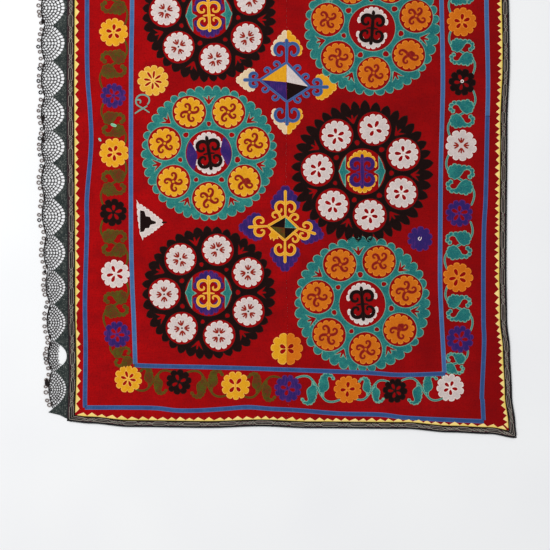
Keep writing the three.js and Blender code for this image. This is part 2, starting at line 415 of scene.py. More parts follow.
@dataclass(frozen=True)
class Braid(Finish):
    """Narrow dark braid, of mixed charcoal and brown yarns."""

    name: str
    base: Colour
    warm: Colour
    pale: Colour

    def title(self) -> str:
        """Returns the material's name."""
        return self.name

    def written(self, shade: Shade) -> bpy.types.Material:
        """Returns the material, with its nodes written."""
        place, stitch = shade.place(), shade.stitch()
        across, along = shade.part(stitch, 0), shade.part(stitch, 1)
        strand = shade.noise(shade.stretched(stitch, (0.9, 0.03, 0.0)), 1.0, 2.0)
        patchy = shade.noise(place, 55.0, 3.0)
        speck = shade.noise(place, 270.0, 3.0)
        plait = ((across * 1.9).sine() * ((along * 1.3).sine())) * 0.5 + 0.5
        colour = shade.mix(strand.between(0.4, 0.62), self.base, self.warm)
        colour = shade.mix((plait * patchy).between(0.25, 0.6) * 0.35, colour, self.pale)
        colour = shade.mix(speck.between(0.54, 0.72) * 0.8, colour, self.pale)
        return shade.finish(colour, patchy * 0.3 + 0.6, plait + strand, 0.5, 0.02, 0.1)


RED_COTTON = RedCotton()
YELLOW_COTTON = YellowCotton()
TAPE_BRAID = Braid("tape_braid", (9, 9, 11), (18, 15, 17), (40, 38, 36))
TAPE_RIM = Braid("tape_rim", (22, 24, 26), (36, 36, 38), (60, 59, 58))
PALE_CORD = Braid("pale_cord", (126, 121, 111), (152, 146, 135), (182, 176, 164))
BROWN_CORD = Braid("brown_cord", (80, 46, 56), (98, 56, 64), (118, 84, 86))
OLIVE_CORD = Braid("olive_cord", (50, 46, 14), (38, 36, 14), (70, 66, 34))
DARK_CORD = Braid("dark_cord", (10, 13, 14), (18, 18, 20), (30, 30, 32))
LACE_HEADING = Braid("lace_heading", (22, 31, 32), (42, 50, 49), (118, 122, 116))
LACE_NET = Braid("lace_net", (14, 15, 16), (44, 34, 34), (56, 54, 52))
LACE_PICOT = Braid("lace_picot", (84, 76, 72), (124, 106, 102), (152, 144, 138))
LACE_DARK = Braid("lace_dark", (8, 12, 13), (34, 22, 22), (40, 38, 36))


# The cloth's own measures, the same as in its solids.


@dataclass(frozen=True)
class Hump:
    """One place where the cloth doesn't lie quite flat."""

    x: float
    y: float
    degrees: float
    half_length: float
    half_width: float
    height: float

    def lift(self, x: float, y: float) -> float:
        """Returns how far the cloth is lifted by this hump at a place."""
        dx, dy = turned((x - self.x, y - self.y), -self.degrees)
        out = (dx / self.half_length) ** 2 + (dy / self.half_width) ** 2
        return self.height * (1 - out) ** 2 if out < 1 else 0.0


@dataclass(frozen=True)
class Table:
    """A line across the cloth, given at a few places and eased between them."""

    rows: tuple[Point, ...]

    def __call__(self, place: float) -> float:
        """Returns the other coordinate at a place along the line."""
        rows = self.rows
        if place > rows[-1][0]:
            return rows[-1][1]
        index = next(i for i, row in enumerate(rows) if row[0] >= place)
        a, b = rows[max(0, index - 1)], rows[max(1, index)]
        share = min(1.0, max(0.0, (place - a[0]) / (b[0] - a[0])))
        return lerp(a[1], b[1], share * share * (3 - 2 * share))


@dataclass
class Cloth:
    """The outline of the whole cloth, and how it lies."""

    gap: float = 0.3
    panel: float = 1.2
    tape_width: dict[str, float] = field(
        default_factory=lambda: {"left": 25.0, "right": 22.0, "foot": 21.0, "head": 21.0}
    )
    left: Table = Table(
        ((-1023, -648), (-865, -643), (-650, -647), (0, -650), (600, -647), (1055, -652)),
    )
    right: Table = Table(
        (
            (-1076, 746), (-1035, 742), (-942, 731), (-803, 725), (-710, 716), (-570, 714), (-105, 717),
            (90, 724), (520, 717), (900, 723), (1076, 737),
        ),
    )
    foot: Table = Table(
        (
            (-651, -1023), (-577, -1030), (-452, -1041), (-205, -1044), (-50, -1039), (105, -1045),
            (400, -1047), (540, -1058), (663, -1063), (746, -1076),
        ),
    )
    head: Table = Table(((-652, 1050), (-400, 1059), (0, 1062), (420, 1060), (737, 1076)))
    seam: Table = Table(((-1040, 36), (-800, 37), (-420, 29), (30, 33), (1060, 34)))
    humps: tuple[Hump, ...] = (
        Hump(-470, -850, 38, 105, 60, 3.0),
        Hump(-475, -450, 8, 85, 60, 2.6),
        Hump(30, -700, 88, 250, 75, 2.2),
        Hump(470, -700, 74, 210, 80, 3.2),
        Hump(545, -850, 118, 105, 60, 2.6),
        Hump(210, -890, 4, 190, 62, 2.0),
        Hump(-230, -60, 12, 230, 75, 2.4),
        Hump(430, 60, 150, 200, 80, 2.8),
        Hump(-330, 540, 100, 260, 80, 3.0),
        Hump(330, 620, 60, 240, 75, 2.8),
        Hump(-60, 890, 6, 260, 70, 2.2),
    )
    pieces: list[bpy.types.Object] = field(default_factory=list)

    def outer(self, side: str, place: float) -> float:
        """Returns the outer edge of a side's tape at a place along it."""
        return {"left": self.left, "right": self.right, "foot": self.foot, "head": self.head}[side](place)

    def inner(self, side: str, place: float) -> float:
        """Returns the inner edge of a side's tape."""
        inward = 1 if side in ("left", "foot") else -1
        return self.outer(side, place) + inward * self.tape_width[side]

    def corner(self, edge: str, upright: str, level: str) -> Point:
        """Returns the corner where the outer or inner edges of two sides meet."""
        line = self.outer if edge == "outer" else self.inner
        return meeting(lambda y: line(upright, y), lambda x: line(level, x))

    def lift(self, x: float, y: float) -> float:
        """Returns how far the cloth's underside is off the surface."""
        return sum(hump.lift(x, y) for hump in self.humps)

    def level(self, height: float) -> "Cloth":
        """Returns the same cloth lying flat, with its face at a height."""
        return replace(self, humps=(), panel=height)

    def top(self, x: float, y: float) -> float:
        """Returns the height of the cloth's face, with its slight ripple."""
        ripple = math.sin(x / 37 + 1.1 * math.sin(y / 61)) * math.sin(y / 47 + 0.8 * math.sin(x / 53))
        return self.lift(x, y) + self.panel + 0.12 * ripple


# Outlines and paths.


@dataclass(frozen=True)
class Placing:
    """Where a motif is put on the cloth."""

    x: float = 0.0
    y: float = 0.0
    degrees: float = 0.0
    size: float = 1.0
    mirror: bool = False

    def point(self, point: Point) -> Point:
        """Returns a motif's point on the cloth."""
        x, y = turned((-point[0] if self.mirror else point[0], point[1]), self.degrees)
        return self.x + x * self.size, self.y + y * self.size

    def all(self, points: Iterable[Point]) -> Loop:
        """Returns a motif's points on the cloth."""
        return [self.point(point) for point in points]


def smooth(points: Sequence[Point], steps: int = 5, closed: bool = False) -> Loop:
    """Returns a curve through some points."""
    count = len(points)
    pick: Callable[[int], Point] = (
        (lambda i: points[i % count]) if closed else (lambda i: points[min(max(i, 0), count - 1)])
    )
    curve = []
    for i in range(count if closed else count - 1):
        a, b, c, d = pick(i - 1), pick(i), pick(i + 1), pick(i + 2)
        for j in range(steps):
            t = j / steps
            curve.append(tuple(
                0.5 * (
                    2 * q + (r - p) * t + (2 * p - 5 * q + 4 * r - s) * t * t
                    + (3 * q - p - 3 * r + s) * t**3
                )
                for p, q, r, s in zip(a, b, c, d)
            ))
    return curve if closed else curve + [points[-1]]


def curl(start: Point, heading: float, length: float, turn: float, tighten: float, steps: int) -> Loop:
    """Returns a path that turns more and more.

    Args:
        start: its first point.
        heading: its first direction, in degrees.
        length: its length.
        turn: how far it turns in all, in degrees.
        tighten: how much of the turn comes late.
        steps: how many pieces it has.

    Returns:
        The path.
    """
    path = [start]
    for i in range(steps):
        angle = math.radians(heading + turn * ((i + 0.5) / steps) ** tighten)
        x, y = path[-1]
        path.append((x + math.cos(angle) * length / steps, y + math.sin(angle) * length / steps))
    return path


class Line:
    """A path that can be read at any share of its length."""

    def __init__(self, points: Sequence[Point]) -> None:
        """Measures the path."""
        self.points = [Vector(p) for p in points]
        self.marks = [0.0]
        for a, b in zip(self.points, self.points[1:]):
            self.marks.append(self.marks[-1] + (b - a).length)

    @property
    def length(self) -> float:
        """Returns the path's length."""
        return self.marks[-1]

    def at(self, share: float) -> tuple[Vector, Vector]:
        """Returns the point at a share of the length, and the direction to its left."""
        want = min(max(share, 0.0), 1.0) * self.length
        last = len(self.points) - 1
        index = next((i for i, mark in enumerate(self.marks[1:]) if mark >= want - 1e-9), last - 1)
        a, b = self.points[index], self.points[index + 1]
        step = max(self.marks[index + 1] - self.marks[index], 1e-9)
        before, after = self.points[max(index - 1, 0)], self.points[min(index + 2, last)]
        part = (want - self.marks[index]) / step
        ahead = (b - before).lerp(after - a, part).normalized()
        return a.lerp(b, part), Vector((-ahead.y, ahead.x))


def bump(share: float, pointed: float) -> float:
    """Returns how far out a lobe is at a share from -1 to 1 across it: from 0, round, to 1, pointed."""
    return lerp(max(0.0, 1 - abs(share) ** 2.5) ** 0.6, (1 - abs(share)) ** 0.85, pointed)


def lobed(
    radius: float,
    depth: float,
    count: int,
    pointed: float,
    lean: float,
    phase: float,
    seed: int,
    steps: int = 8,
) -> Loop:
    """Returns a closed ring of lobes round the origin.

    Args:
        radius: the reach of the lobes.
        depth: how deep the notches between them are.
        count: how many lobes there are.
        pointed: from 0, round, to 1, pointed.
        lean: how far the lobes lean round.
        phase: the angle of the first notch, in degrees.
        seed: which unevenness.
        steps: how many corners a lobe has.

    Returns:
        The ring.
    """
    chance = random.Random(seed)
    widths = [chance.uniform(0.9, 1.1) for _ in range(count)]
    reaches = [chance.uniform(-0.14, 0.06) * depth for _ in range(count)]
    scale, start, ring = 360 / sum(widths), phase, []
    for width, reach in zip(widths, reaches):
        for i in range(steps):
            share = 2 * i / steps - 1
            bulge = bump(share, pointed)
            angle = start + scale * width * ((share + 1) / 2 + lean * bulge)
            ring.append(turned((radius + bulge * reach - depth * (1 - bulge), 0), angle))
        start += scale * width
    return ring


def lobed_line(points: Sequence[Point], count: int, depth: float, pointed: float = 0.1) -> Loop:
    """Returns a smooth curve through some points with lobes on its left."""
    line, path, steps = Line(smooth(points, 6)), [], 7
    for lobe in range(count):
        for i in range(steps):
            share = 2 * i / steps - 1
            bulge = bump(share, pointed)
            spot, left = line.at((lobe + i / steps) / count)
            path.append(tuple(spot + left * depth * bulge))
    return path + [tuple(line.points[-1])]


def drop(length: float, width: float, start: float) -> Loop:
    """Returns a drop that points at the origin and ends at a distance from it along +X."""
    return [
        (start + length * (1 - math.cos(a)) / 2, width / 2 * math.sin(a) * (0.82 - 0.24 * math.cos(a)))
        for a in (2 * math.pi * i / 14 for i in range(14))
    ]


def crescent(
    first: float, last: float, outer: float, inner: float, lobes: int, depth: float, wide: float
) -> Loop:
    """Returns a crescent round the origin.

    Args:
        first: the angle at one tip, in degrees.
        last: the angle at the other tip.
        outer: its outer radius.
        inner: its inner radius, half way between the tips.
        lobes: how many lobes its outer edge has.
        depth: how deep the notches between them are.
        wide: how much wider than tall it is.

    Returns:
        The closed outline.
    """
    outline = []
    for i in range(lobes * 7 + 1):
        share = i / (lobes * 7)
        bulge = bump(2 * ((share * lobes) % 1) - 1, 0.0)
        taper = min(1.0, 5 * min(share, 1 - share) + 0.5)
        edge = outer * lerp(1, taper, 0.12) - depth * (1 - bulge)
        outline.append(turned((edge, 0), lerp(first, last, share)))
    for i in range(24):
        share = 1 - (i + 0.5) / 24
        thick = (outer - inner) * math.sin(math.pi * share) ** 0.25
        outline.append(turned((outer - depth - 1.5 - thick * 0.9, 0), lerp(first, last, share)))
    return [(x * wide, y) for x, y in outline]


def ring(radius: float, count: int, wobble: float = 0.0, seed: int = 0) -> Loop:
    """Returns a circle, a little uneven."""
    phase, loop = seed * 1.7, []
    for i in range(count):
        a = 2 * math.pi * i / count
        uneven = 1 + wobble * math.sin(3 * a + phase) + wobble * math.sin(2 * a - phase)
        loop.append(turned((radius * uneven, 0), math.degrees(a)))
    return loop


def sides(loop: Sequence[Point]) -> Iterable[tuple[Point, Point]]:
    """Returns the two ends of each side of a closed loop."""
    return zip(loop, list(loop[1:]) + [loop[0]])


def enclosed(loop: Sequence[Point]) -> float:
    """Returns the area inside a loop."""
    return abs(sum(a[0] * b[1] - b[0] * a[1] for a, b in sides(loop))) / 2


def contains(loop: Sequence[Point], x: float, y: float) -> bool:
    """Returns whether a point is inside a loop."""
    hit = False
    for (ax, ay), (bx, by) in sides(loop):
        if (ay > y) != (by > y) and x < (bx - ax) * (y - ay) / (by - ay) + ax:
            hit = not hit
    return hit


# Embroidery.


@dataclass
class Fill:
    """An area filled with chain stitch."""

    loops: list[Loop]
    thread: Thread
    middle: Point
    rise: float = 0.7
    cell: float = 7.0

    def flat(self, attempt: int) -> tuple[bmesh.types.BMesh, bool]:
        """Returns the patch filled in its plane, and whether all of its area is there.

        Args:
            attempt: how many times it was tried. Each attempt moves the outline by a hair more.

        Returns:
            The mesh, and True if the filled area is that of the outline without its openings.
        """
        bm = bmesh.new()
        chance, far = random.Random(attempt), 0.03 * attempt
        for loop in self.loops:
            spots = [(x + chance.uniform(-far, far), y + chance.uniform(-far, far), 0) for x, y in loop]
            corners = [bm.verts.new(spot) for spot in spots]
            for a, b in zip(corners, corners[1:] + corners[:1]):
                bm.edges.new((a, b))
        bmesh.ops.triangle_fill(bm, use_beauty=True, use_dissolve=False, edges=bm.edges[:], normal=(0, 0, 1))
        wanted = enclosed(self.loops[0]) - sum(enclosed(loop) for loop in self.loops[1:])
        return bm, abs(sum(face.calc_area() for face in bm.faces) - wanted) < 0.01 * wanted

    def mesh(self, cloth: Cloth, index: int) -> bpy.types.Mesh:
        """Returns the patch as a thin closed shell that follows the cloth."""
        outline = KDTree(2 * sum(len(loop) for loop in self.loops))
        for loop in self.loops:
            for a, b in sides(loop):
                outline.insert((a[0], a[1], 0), 0)
                outline.insert(((a[0] + b[0]) / 2, (a[1] + b[1]) / 2, 0), 0)
        outline.balance()
        for attempt in range(8):
            bm, whole = self.flat(attempt)
            if whole:
                break
            bm.free()
        else:
            bm, _ = self.flat(0)
            LOG.warning("a fill round %s doesn't have its whole area", self.middle)
        stitch = bm.verts.layers.float_vector.new("stitch")
        for axis in range(2):
            spots = [v.co[axis] for v in bm.verts]
            cut = math.floor(min(spots) / self.cell + 1) * self.cell
            while cut < max(spots):
                place, normal = [0.0, 0.0, 0.0], [0.0, 0.0, 0.0]
                place[axis], normal[axis] = cut, 1.0
                geometry = bm.verts[:] + bm.edges[:] + bm.faces[:]
                bmesh.ops.bisect_plane(bm, geom=geometry, dist=0.05, plane_co=place, plane_no=normal)
                cut += self.cell
        for v in bm.verts:
            inside = 0.0 if v.is_boundary else outline.find(v.co)[2]
            v[stitch] = (v.co.x - self.middle[0], v.co.y - self.middle[1], inside)
            v.co.z = self.rise
        close_below(bm, lambda z: SUNK)
        lay_on(bm, cloth)
        return finished(bm, index)


@dataclass
class Stroke:
    """A line of chain stitch, a few rows wide."""

    path: Loop
    widths: tuple[float, float, float]
    thread: Thread
    rise: float = 0.8
    step: float = 4.0
    square: bool = False

    def mesh(self, cloth: Cloth, index: int) -> bpy.types.Mesh:
        """Returns the line as a thin closed shell that follows the cloth."""
        line = Line(self.path)
        bm = bmesh.new()
        stitch = bm.verts.layers.float_vector.new("stitch")
        count = max(5, round(line.length / self.step))
        bmesh.ops.create_grid(bm, x_segments=count, y_segments=2, size=0.5)
        first, middle, last = self.widths
        for v in bm.verts:
            share, across = v.co.x + 0.5, v.co.y * 2
            if not self.square:
                share = lerp(share, 0.5 - math.cos(math.pi * share) / 2, min(1.0, 2 * middle / line.length))
            wide = lerp(first, middle, share * 2) if share < 0.5 else lerp(middle, last, share * 2 - 1)
            end = min(share, 1 - share) * line.length / max(wide / 2, 0.1)
            if not self.square:
                wide *= math.sqrt(max(0.04, 1 - (1 - min(end, 1.0)) ** 2))
            spot, left = line.at(share)
            v[stitch] = (across * wide / 2, share * line.length, (1 - abs(across)) * wide / 2)
            x, y = spot + left * across * wide / 2
            v.co = (x, y, self.rise)
        close_below(bm, lambda z: SUNK)
        lay_on(bm, cloth)
        return finished(bm, index)


Patch = Fill | Stroke


def close_below(bm: bmesh.types.BMesh, lowered: Callable[[float], float]) -> None:
    """Closes an open sheet with a copy of itself, at heights worked out from its own, and walls between."""
    for v in bmesh.ops.extrude_face_region(bm, geom=bm.faces[:])["geom"]:
        if isinstance(v, bmesh.types.BMVert):
            v.co.z = lowered(v.co.z)
    bmesh.ops.recalc_face_normals(bm, faces=bm.faces[:])


def lay_on(bm: bmesh.types.BMesh, cloth: Cloth) -> None:
    """Lifts a mesh onto the cloth's face."""
    for v in bm.verts:
        v.co.z += cloth.top(v.co.x, v.co.y)


def finished(bm: bmesh.types.BMesh, index: int = 0) -> bpy.types.Mesh:
    """Returns a mesh in metres, smooth but for its sharp edges, and frees its bmesh."""
    bmesh.ops.scale(bm, vec=(MM, MM, MM), verts=bm.verts[:])
    for edge in bm.edges:
        edge.smooth = edge.calc_face_angle(0.0) < SHARP
    for face in bm.faces:
        face.material_index = index
        face.smooth = True
    mesh = bpy.data.meshes.new("part")
    bm.to_mesh(mesh)
    bm.free()
    return mesh


def in_scene(name: str, data: bpy.types.ID) -> bpy.types.Object:
    """Returns a new object in the scene."""
    holder = bpy.data.objects.new(name, data)
    bpy.context.scene.collection.objects.link(holder)
    return holder


def joined(
    name: str, parts: Sequence[bpy.types.Mesh], materials: Sequence[bpy.types.Material]
) -> bpy.types.Object:
    """Returns one object of several meshes.

    Args:
        name: the object's name.
        parts: its meshes, in metres, each with its material's place in the list.
        materials: the materials.

    Returns:
        The object, which rides on the part.
    """
    whole = bmesh.new()
    for part in parts:
        whole.from_mesh(part)
        bpy.data.meshes.remove(part)
    mesh = bpy.data.meshes.new(name)
    whole.to_mesh(mesh)
    whole.free()
    for material in materials:
        mesh.materials.append(material)
    piece = in_scene(name, mesh)
    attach(piece, "root")
    LOG.info("%s: %d faces", name, len(mesh.polygons))
    return piece


def embroidered(name: str, patches: Sequence[Patch], cloth: Cloth) -> bpy.types.Object:
    """Returns some patches as one piece, and adds it to the cloth's pieces."""
    threads = list(dict.fromkeys(patch.thread for patch in patches))
    parts = [patch.mesh(cloth, threads.index(patch.thread)) for patch in patches]
    piece = joined(name, parts, [thread.material() for thread in threads])
    cloth.pieces.append(piece)
    return piece


# Motifs.


def flower(
    placing: Placing, radius: float, petals: Thread, lobes: int, drops: int, seed: int, reach: float = 0.56
) -> list[Patch]:
    """Returns a lobed flower with drops left open round its middle."""
    chance = random.Random(seed * 7 + 3)
    outer = lobed(radius, radius * 0.2, lobes, 0.02, 0.0, chance.uniform(0, 360), seed)
    loops = [placing.all(outer)]
    for i in range(drops):
        tilt = 360 * i / drops + chance.uniform(-8, 8) + seed * 23
        size = chance.uniform(0.88, 1.12)
        shape = drop(radius * (reach - 0.13) * size, radius * min(0.3, 1.42 / drops), radius * 0.13)
        loops.append(placing.all(spun(shape, tilt)))
    return [Fill(loops, petals, (placing.x, placing.y))]


def pinwheel(placing: Placing, line: Thread, seed: int, blocked: bool = False) -> list[Patch]:
    """Returns four curling arms round a small open ring."""
    chance = random.Random(seed)
    patches: list[Patch] = []
    for arm in range(4):
        turn = 90 * arm + chance.uniform(-8, 8)
        size = chance.uniform(0.9, 1.1)
        path = spun(curl((5.5, 0), -4, 47 * size, 312, 2.0, 16), turn)
        if blocked and arm == 0:
            block = [(-6, 4), (7, 7), (16, 4), (19, -8), (15, -16), (4, -13), (-4, -8)]
            patches.append(Fill([placing.all(block)], line, (placing.x, placing.y), 0.95))
        else:
            patches.append(Stroke(placing.all(path), (10.2, 7.4, 4.6), line, 0.9 + 0.02 * arm, 3.2))
    patches.append(Stroke(placing.all(ring(6.2, 14) + [(6.2, 0.0)]), (4.2, 4.2, 4.2), line, 1.0, 3.0, True))
    return patches


def bird_foot(placing: Placing, line: Thread) -> list[Patch]:
    """Returns a short fork of three drops."""
    patches: list[Patch] = []
    for degrees, bend, rise in ((-44, 26, 0.92), (0, 0, 0.96), (44, -26, 0.94)):
        toe = spun(curl((0, 0), 0, 17, bend, 1.0, 5), degrees)
        patches.append(Stroke(placing.all(toe), (3.4, 5.0, 4.6), line, rise, 3.0))
    return patches


HORNS = {
    "upper": [(0, 24), (5, 35), (16, 39), (28, 35), (33, 24), (30, 13), (21, 9), (13, 13), (16, 21)],
    "lower": [(0, -25), (5, -36), (16, -41), (28, -37), (34, -25), (30, -14), (21, -9), (13, -13), (16, -21)],
}


@dataclass
class HornedMiddle:
    """The middle of a medallion: two pairs of ram's horns on a stem, with lobed caps."""

    placing: Placing
    horns: Thread
    caps: Thread
    sides: Thread | None = None
    side_spikes: bool = False
    horn_width: float = 10.6
    reach: float = 66.0
    thick: float = 18.0
    wide: float = 0.8

    def patches(self) -> list[Patch]:
        """Returns the middle's patches."""
        at, middle = self.placing, (self.placing.x, self.placing.y)
        wide = self.horn_width
        patches: list[Patch] = []
        for first, last, lobes in ((12, 168, 8), (193, 349, 8)):
            cap = crescent(first, last, self.reach, self.reach - self.thick, lobes, 6.5, self.wide)
            patches.append(Fill([at.all(cap)], self.caps, middle, 0.55))
        stem = [(0, -53), (1, -20), (0, 20), (-1, 55)]
        patches.append(Stroke(at.all(stem), (7, wide + 1, 6.5), self.horns, 0.98))
        for y in (-45, 46):
            bud = [(0, y - 8), (0, y - 3), (0, y + 3), (0, y + 8)]
            patches.append(Stroke(at.all(bud), (9, 12, 7), self.horns, 1.0, 3.0))
        patches.append(Stroke(at.all([(-19, -2), (0, 0), (19, -2)]), (4, 7, 4), self.horns, 0.86))
        for name, path in HORNS.items():
            for flip in (-1, 1):
                side = smooth([(x * flip, y) for x, y in path], 4)
                rise = 0.9 if name == "upper" else 0.94
                patches.append(Stroke(at.all(side), (wide, wide * 1.12, wide * 0.55), self.horns, rise))
        for flip in (-1, 1) if self.sides else ():
            if self.side_spikes:
                shape = [
                    (50, 50), (62, 28), (68, 10), (73, 1), (68, -9), (63, -26),
                    (51, -49), (51, -22), (50, -9), (36, -1), (50, 8), (51, 24),
                ]
            else:
                shape = [(53, 45), (64, 26), (70, 2), (67, -22), (53, -47), (42, -20), (36, 0), (42, 20)]
            outline = smooth([(flip * x, y) for x, y in shape], 2, True)
            patches.append(Fill([at.all(outline)], self.sides, middle, 0.62))
        return patches


class Window(Enum):
    """What is worked in a medallion's seven windows."""

    PINWHEEL = "pinwheel"
    BIRD_FEET = "bird_feet"
    DROPS = "drops"


WINDOWS = 7
# Radii in a medallion: of its middle opening, and of the ring that its dots are on.
MIDDLE_OPENING = 72
DOT_ORBIT = 91
# The least rim left outside a window.
RIM_LEFT = 3.5
SPROUT_SIDE = [(151, 1.3), (157, 6), (165, 11), (177, 19.5), (171, 10), (165, 3.6), (178, 2.0)]


@dataclass
class Medallion:
    """A round medallion: a leafy rim with seven windows round a larger one."""

    name: str
    x: float
    y: float
    radius: float
    first: float
    rim: Thread
    petals: Thread
    window: Window
    middle: HornedMiddle
    pointed: float
    lobes: int
    seed: int
    dot: float
    orbit: float
    opening: float

    def rim_patch(self) -> Fill:
        """Returns the rim, with its windows, dots and sprouts left open."""
        placing = Placing(self.x, self.y)
        chance = random.Random(self.seed)
        depth = self.radius - self.orbit - self.opening - RIM_LEFT
        loops = [lobed(self.radius, depth, self.lobes, self.pointed, 0.06, self.first, self.seed, 10)]
        loops.append(spun(ring(MIDDLE_OPENING, 48, 0.006, self.seed), self.first))
        for i in range(WINDOWS):
            angle = self.first + 360 * i / WINDOWS
            window = [(self.orbit + x, y) for x, y in ring(self.opening, 40, 0.008, self.seed + i)]
            loops.append(spun(window, angle))
            between = angle + 180 / WINDOWS
            size = chance.uniform(0.85, 1.15)
            spot = [(DOT_ORBIT + x * size, y * size) for x, y in ring(self.dot, 14, 0.06, i)]
            loops.append(spun(spot, between))
            sprout = SPROUT_SIDE + [(x, -y) for x, y in reversed(SPROUT_SIDE)]
            loops.append(spun(sprout, between + chance.uniform(-1, 1)))
        return Fill([placing.all(loop) for loop in loops], self.rim, (self.x, self.y))

    def windows(self) -> tuple[list[Patch], list[Patch]]:
        """Returns the flowers in the windows, and what is worked on them."""
        flowers: list[Patch] = []
        marks: list[Patch] = []
        chance = random.Random(self.seed + 50)
        for i in range(WINDOWS):
            dx, dy = turned((self.orbit, 0), self.first + 360 * i / WINDOWS)
            tilt = chance.uniform(0, 90)
            shift_x, shift_y = chance.uniform(-1.5, 1.5), chance.uniform(-1.5, 1.5)
            spot = Placing(self.x + dx + shift_x, self.y + dy + shift_y, tilt)
            seed = self.seed * 13 + i
            if self.window is Window.DROPS:
                flowers += flower(spot, self.opening - 5.5, self.petals, 12, 4 if i == 3 else 5, seed, 0.55)
                continue
            flowers += flower(spot, self.opening - 5, self.petals, 12, 0, seed)
            if self.window is Window.PINWHEEL:
                marks += pinwheel(spot, CRIMSON, seed, blocked=i == 1)
            else:
                marks.append(Fill([spot.all(ring(2.8, 10))], BLACK, (spot.x, spot.y), 0.95))
                for arm in range(4):
                    turn = 45 + 90 * arm + chance.uniform(-14, 14)
                    aim = spot.degrees + turn + chance.uniform(-9, 9)
                    marks += bird_foot(Placing(*spot.point(turned((7.5, 0), turn)), aim), CRIMSON)
        return flowers, marks

    def build(self, cloth: Cloth) -> None:
        """Makes the medallion's pieces."""
        embroidered(f"{self.name}_rim", [self.rim_patch()], cloth)
        flowers, marks = self.windows()
        embroidered(f"{self.name}_window_flowers", flowers, cloth)
        if marks:
            embroidered(f"{self.name}_window_marks", marks, cloth)
        embroidered(f"{self.name}_middle", self.middle.patches(), cloth)


def medallion(
    name: str, x: float, y: float, radius: float, first: float, kind: str, seed: int, tilt: float
) -> Medallion:
    """Returns a medallion of one of the four kinds on this cloth."""
    spot, violet = Placing(x, y, tilt), PURPLE.upright()
    if kind == "teal_yellow":
        petals, window, middle = YELLOW, Window.PINWHEEL, HornedMiddle(spot, BLACK, WHITE, PURPLE)
        rim, pointed, dot, lobes, orbit, opening = TEAL, 0.2, 8.0, 43, 140.5, 52.0
    elif kind == "teal_orange":
        petals, window, middle = ORANGE, Window.PINWHEEL, HornedMiddle(spot, BLACK, WHITE)
        rim, pointed, dot, lobes, orbit, opening = TEAL, 0.2, 8.0, 40, 140.5, 52.0
    elif kind == "black_feet":
        petals, window = WHITE, Window.BIRD_FEET
        middle = HornedMiddle(spot, YELLOW, violet, TEAL, True, 8.6, 70, 27, 0.76)
        rim, pointed, dot, lobes, orbit, opening = BLACK, 0.48, 7.0, 40, 136.5, 50.0
    else:
        petals, window = WHITE, Window.DROPS
        middle = HornedMiddle(spot, PURPLE, YELLOW, TEAL, True, 13.0, 67, 19, 0.76)
        rim, pointed, dot, lobes, orbit, opening = BLACK, 0.48, 7.0, 40, 138.0, 52.5
    return Medallion(
        name, x, y, radius, first, rim, petals, window, middle, pointed, lobes, seed, dot, orbit, opening
    )


def medallions() -> list[Medallion]:
    """Returns the eight medallions, four rows of two."""
    return [
        medallion("medallion_a", -208, -193, 211, -90, "teal_yellow", 11, 8),
        medallion("medallion_b", -209, -626, 208, -76, "black_feet", 12, 0),
        medallion("medallion_c", 267, -250, 222, -80, "black_drops", 15, 0),
        medallion("medallion_d", 267.5, -660, 212, -86, "teal_orange", 14, 4),
        medallion("medallion_e", 298, 195, 211, -88, "teal_orange", 15, -5),
        medallion("medallion_f", -208, 235, 209, -82, "black_feet", 16, 3),
        medallion("medallion_g", -208, 655, 211, -90, "teal_yellow", 17, -6),
        medallion("medallion_h", 276, 630, 216, -78, "black_drops", 21, 5),
    ]


# A scroll's stem and leaves, drawn for flowers this far apart.
SCROLL_SPAN = 198
SCROLL_STEM = [
    (34, 76), (42, 50), (38, 28), (20, 12), (0, 0), (-20, -12), (-38, -28), (-42, -50), (-34, -76),
]
SIDE_LEAF = [
    (25, 3), (34, 15), (33, 31), (19, 42), (1, 39), (-12, 38), (-27, 36), (-37, 25), (-37, 12), (-29, 5),
    (-21, 8),
]
SIDE_LEAF_INSIDE = [
    (-21, 13), (-27, 15), (-29, 22), (-22, 28), (-12, 26), (-6, 17), (1, 8), (10, 1), (17, -2),
]
FOOT_LEAF = [
    (26, 15), (15, 14), (7, 7), (-5, 4), (-19, 5), (-32, 8), (-44, 14), (-51, 24), (-51, 36), (-45, 47),
    (-36, 53), (-30, 52),
]
FOOT_LEAF_INSIDE = [
    (-31, 46), (-38, 43), (-41, 36), (-35, 32), (-24, 35), (-12, 37), (-3, 36), (5, 30), (10, 23), (18, 21),
    (26, 21),
]


def scroll(start: Point, end: Point, mirror: bool, outward: bool, line: Thread) -> list[Patch]:
    """Returns a scroll between two flowers: a stem like an S, with a hooked leaf on each side.

    Args:
        start: the first flower's middle.
        end: the second flower's middle.
        mirror: whether the scroll is the other way round.
        outward: whether the leaves hook away from the scroll's middle.
        line: its thread.

    Returns:
        The patches.
    """
    dx, dy = start[0] - end[0], start[1] - end[1]
    middle = ((start[0] + end[0]) / 2, (start[1] + end[1]) / 2)
    aim = math.degrees(math.atan2(dy, dx)) - 90
    placing = Placing(*middle, aim, math.hypot(dx, dy) / SCROLL_SPAN, mirror)
    if outward:
        leaf, centre = lobed_line(FOOT_LEAF, 10, 3.6, 0.0) + smooth(FOOT_LEAF_INSIDE, 3), (-15, 20)
    else:
        leaf, centre = lobed_line(SIDE_LEAF, 10, -4.2, 0.0) + smooth(SIDE_LEAF_INSIDE, 3), (8, 28)
    patches: list[Patch] = [Stroke(placing.all(smooth(SCROLL_STEM, 5)), (6, 7.5, 6), line, 0.62)]
    for half_turn in (0, 180):
        spot = placing.point(turned(centre, half_turn))
        patches.append(Fill([placing.all(spun(leaf, half_turn))], line, spot, 0.75))
    return patches


# Two white flowers are marked with forks and a black one with a ring, by their places.
FORKED = ((574, -169), (570, 585))
RINGED = (577, 27)


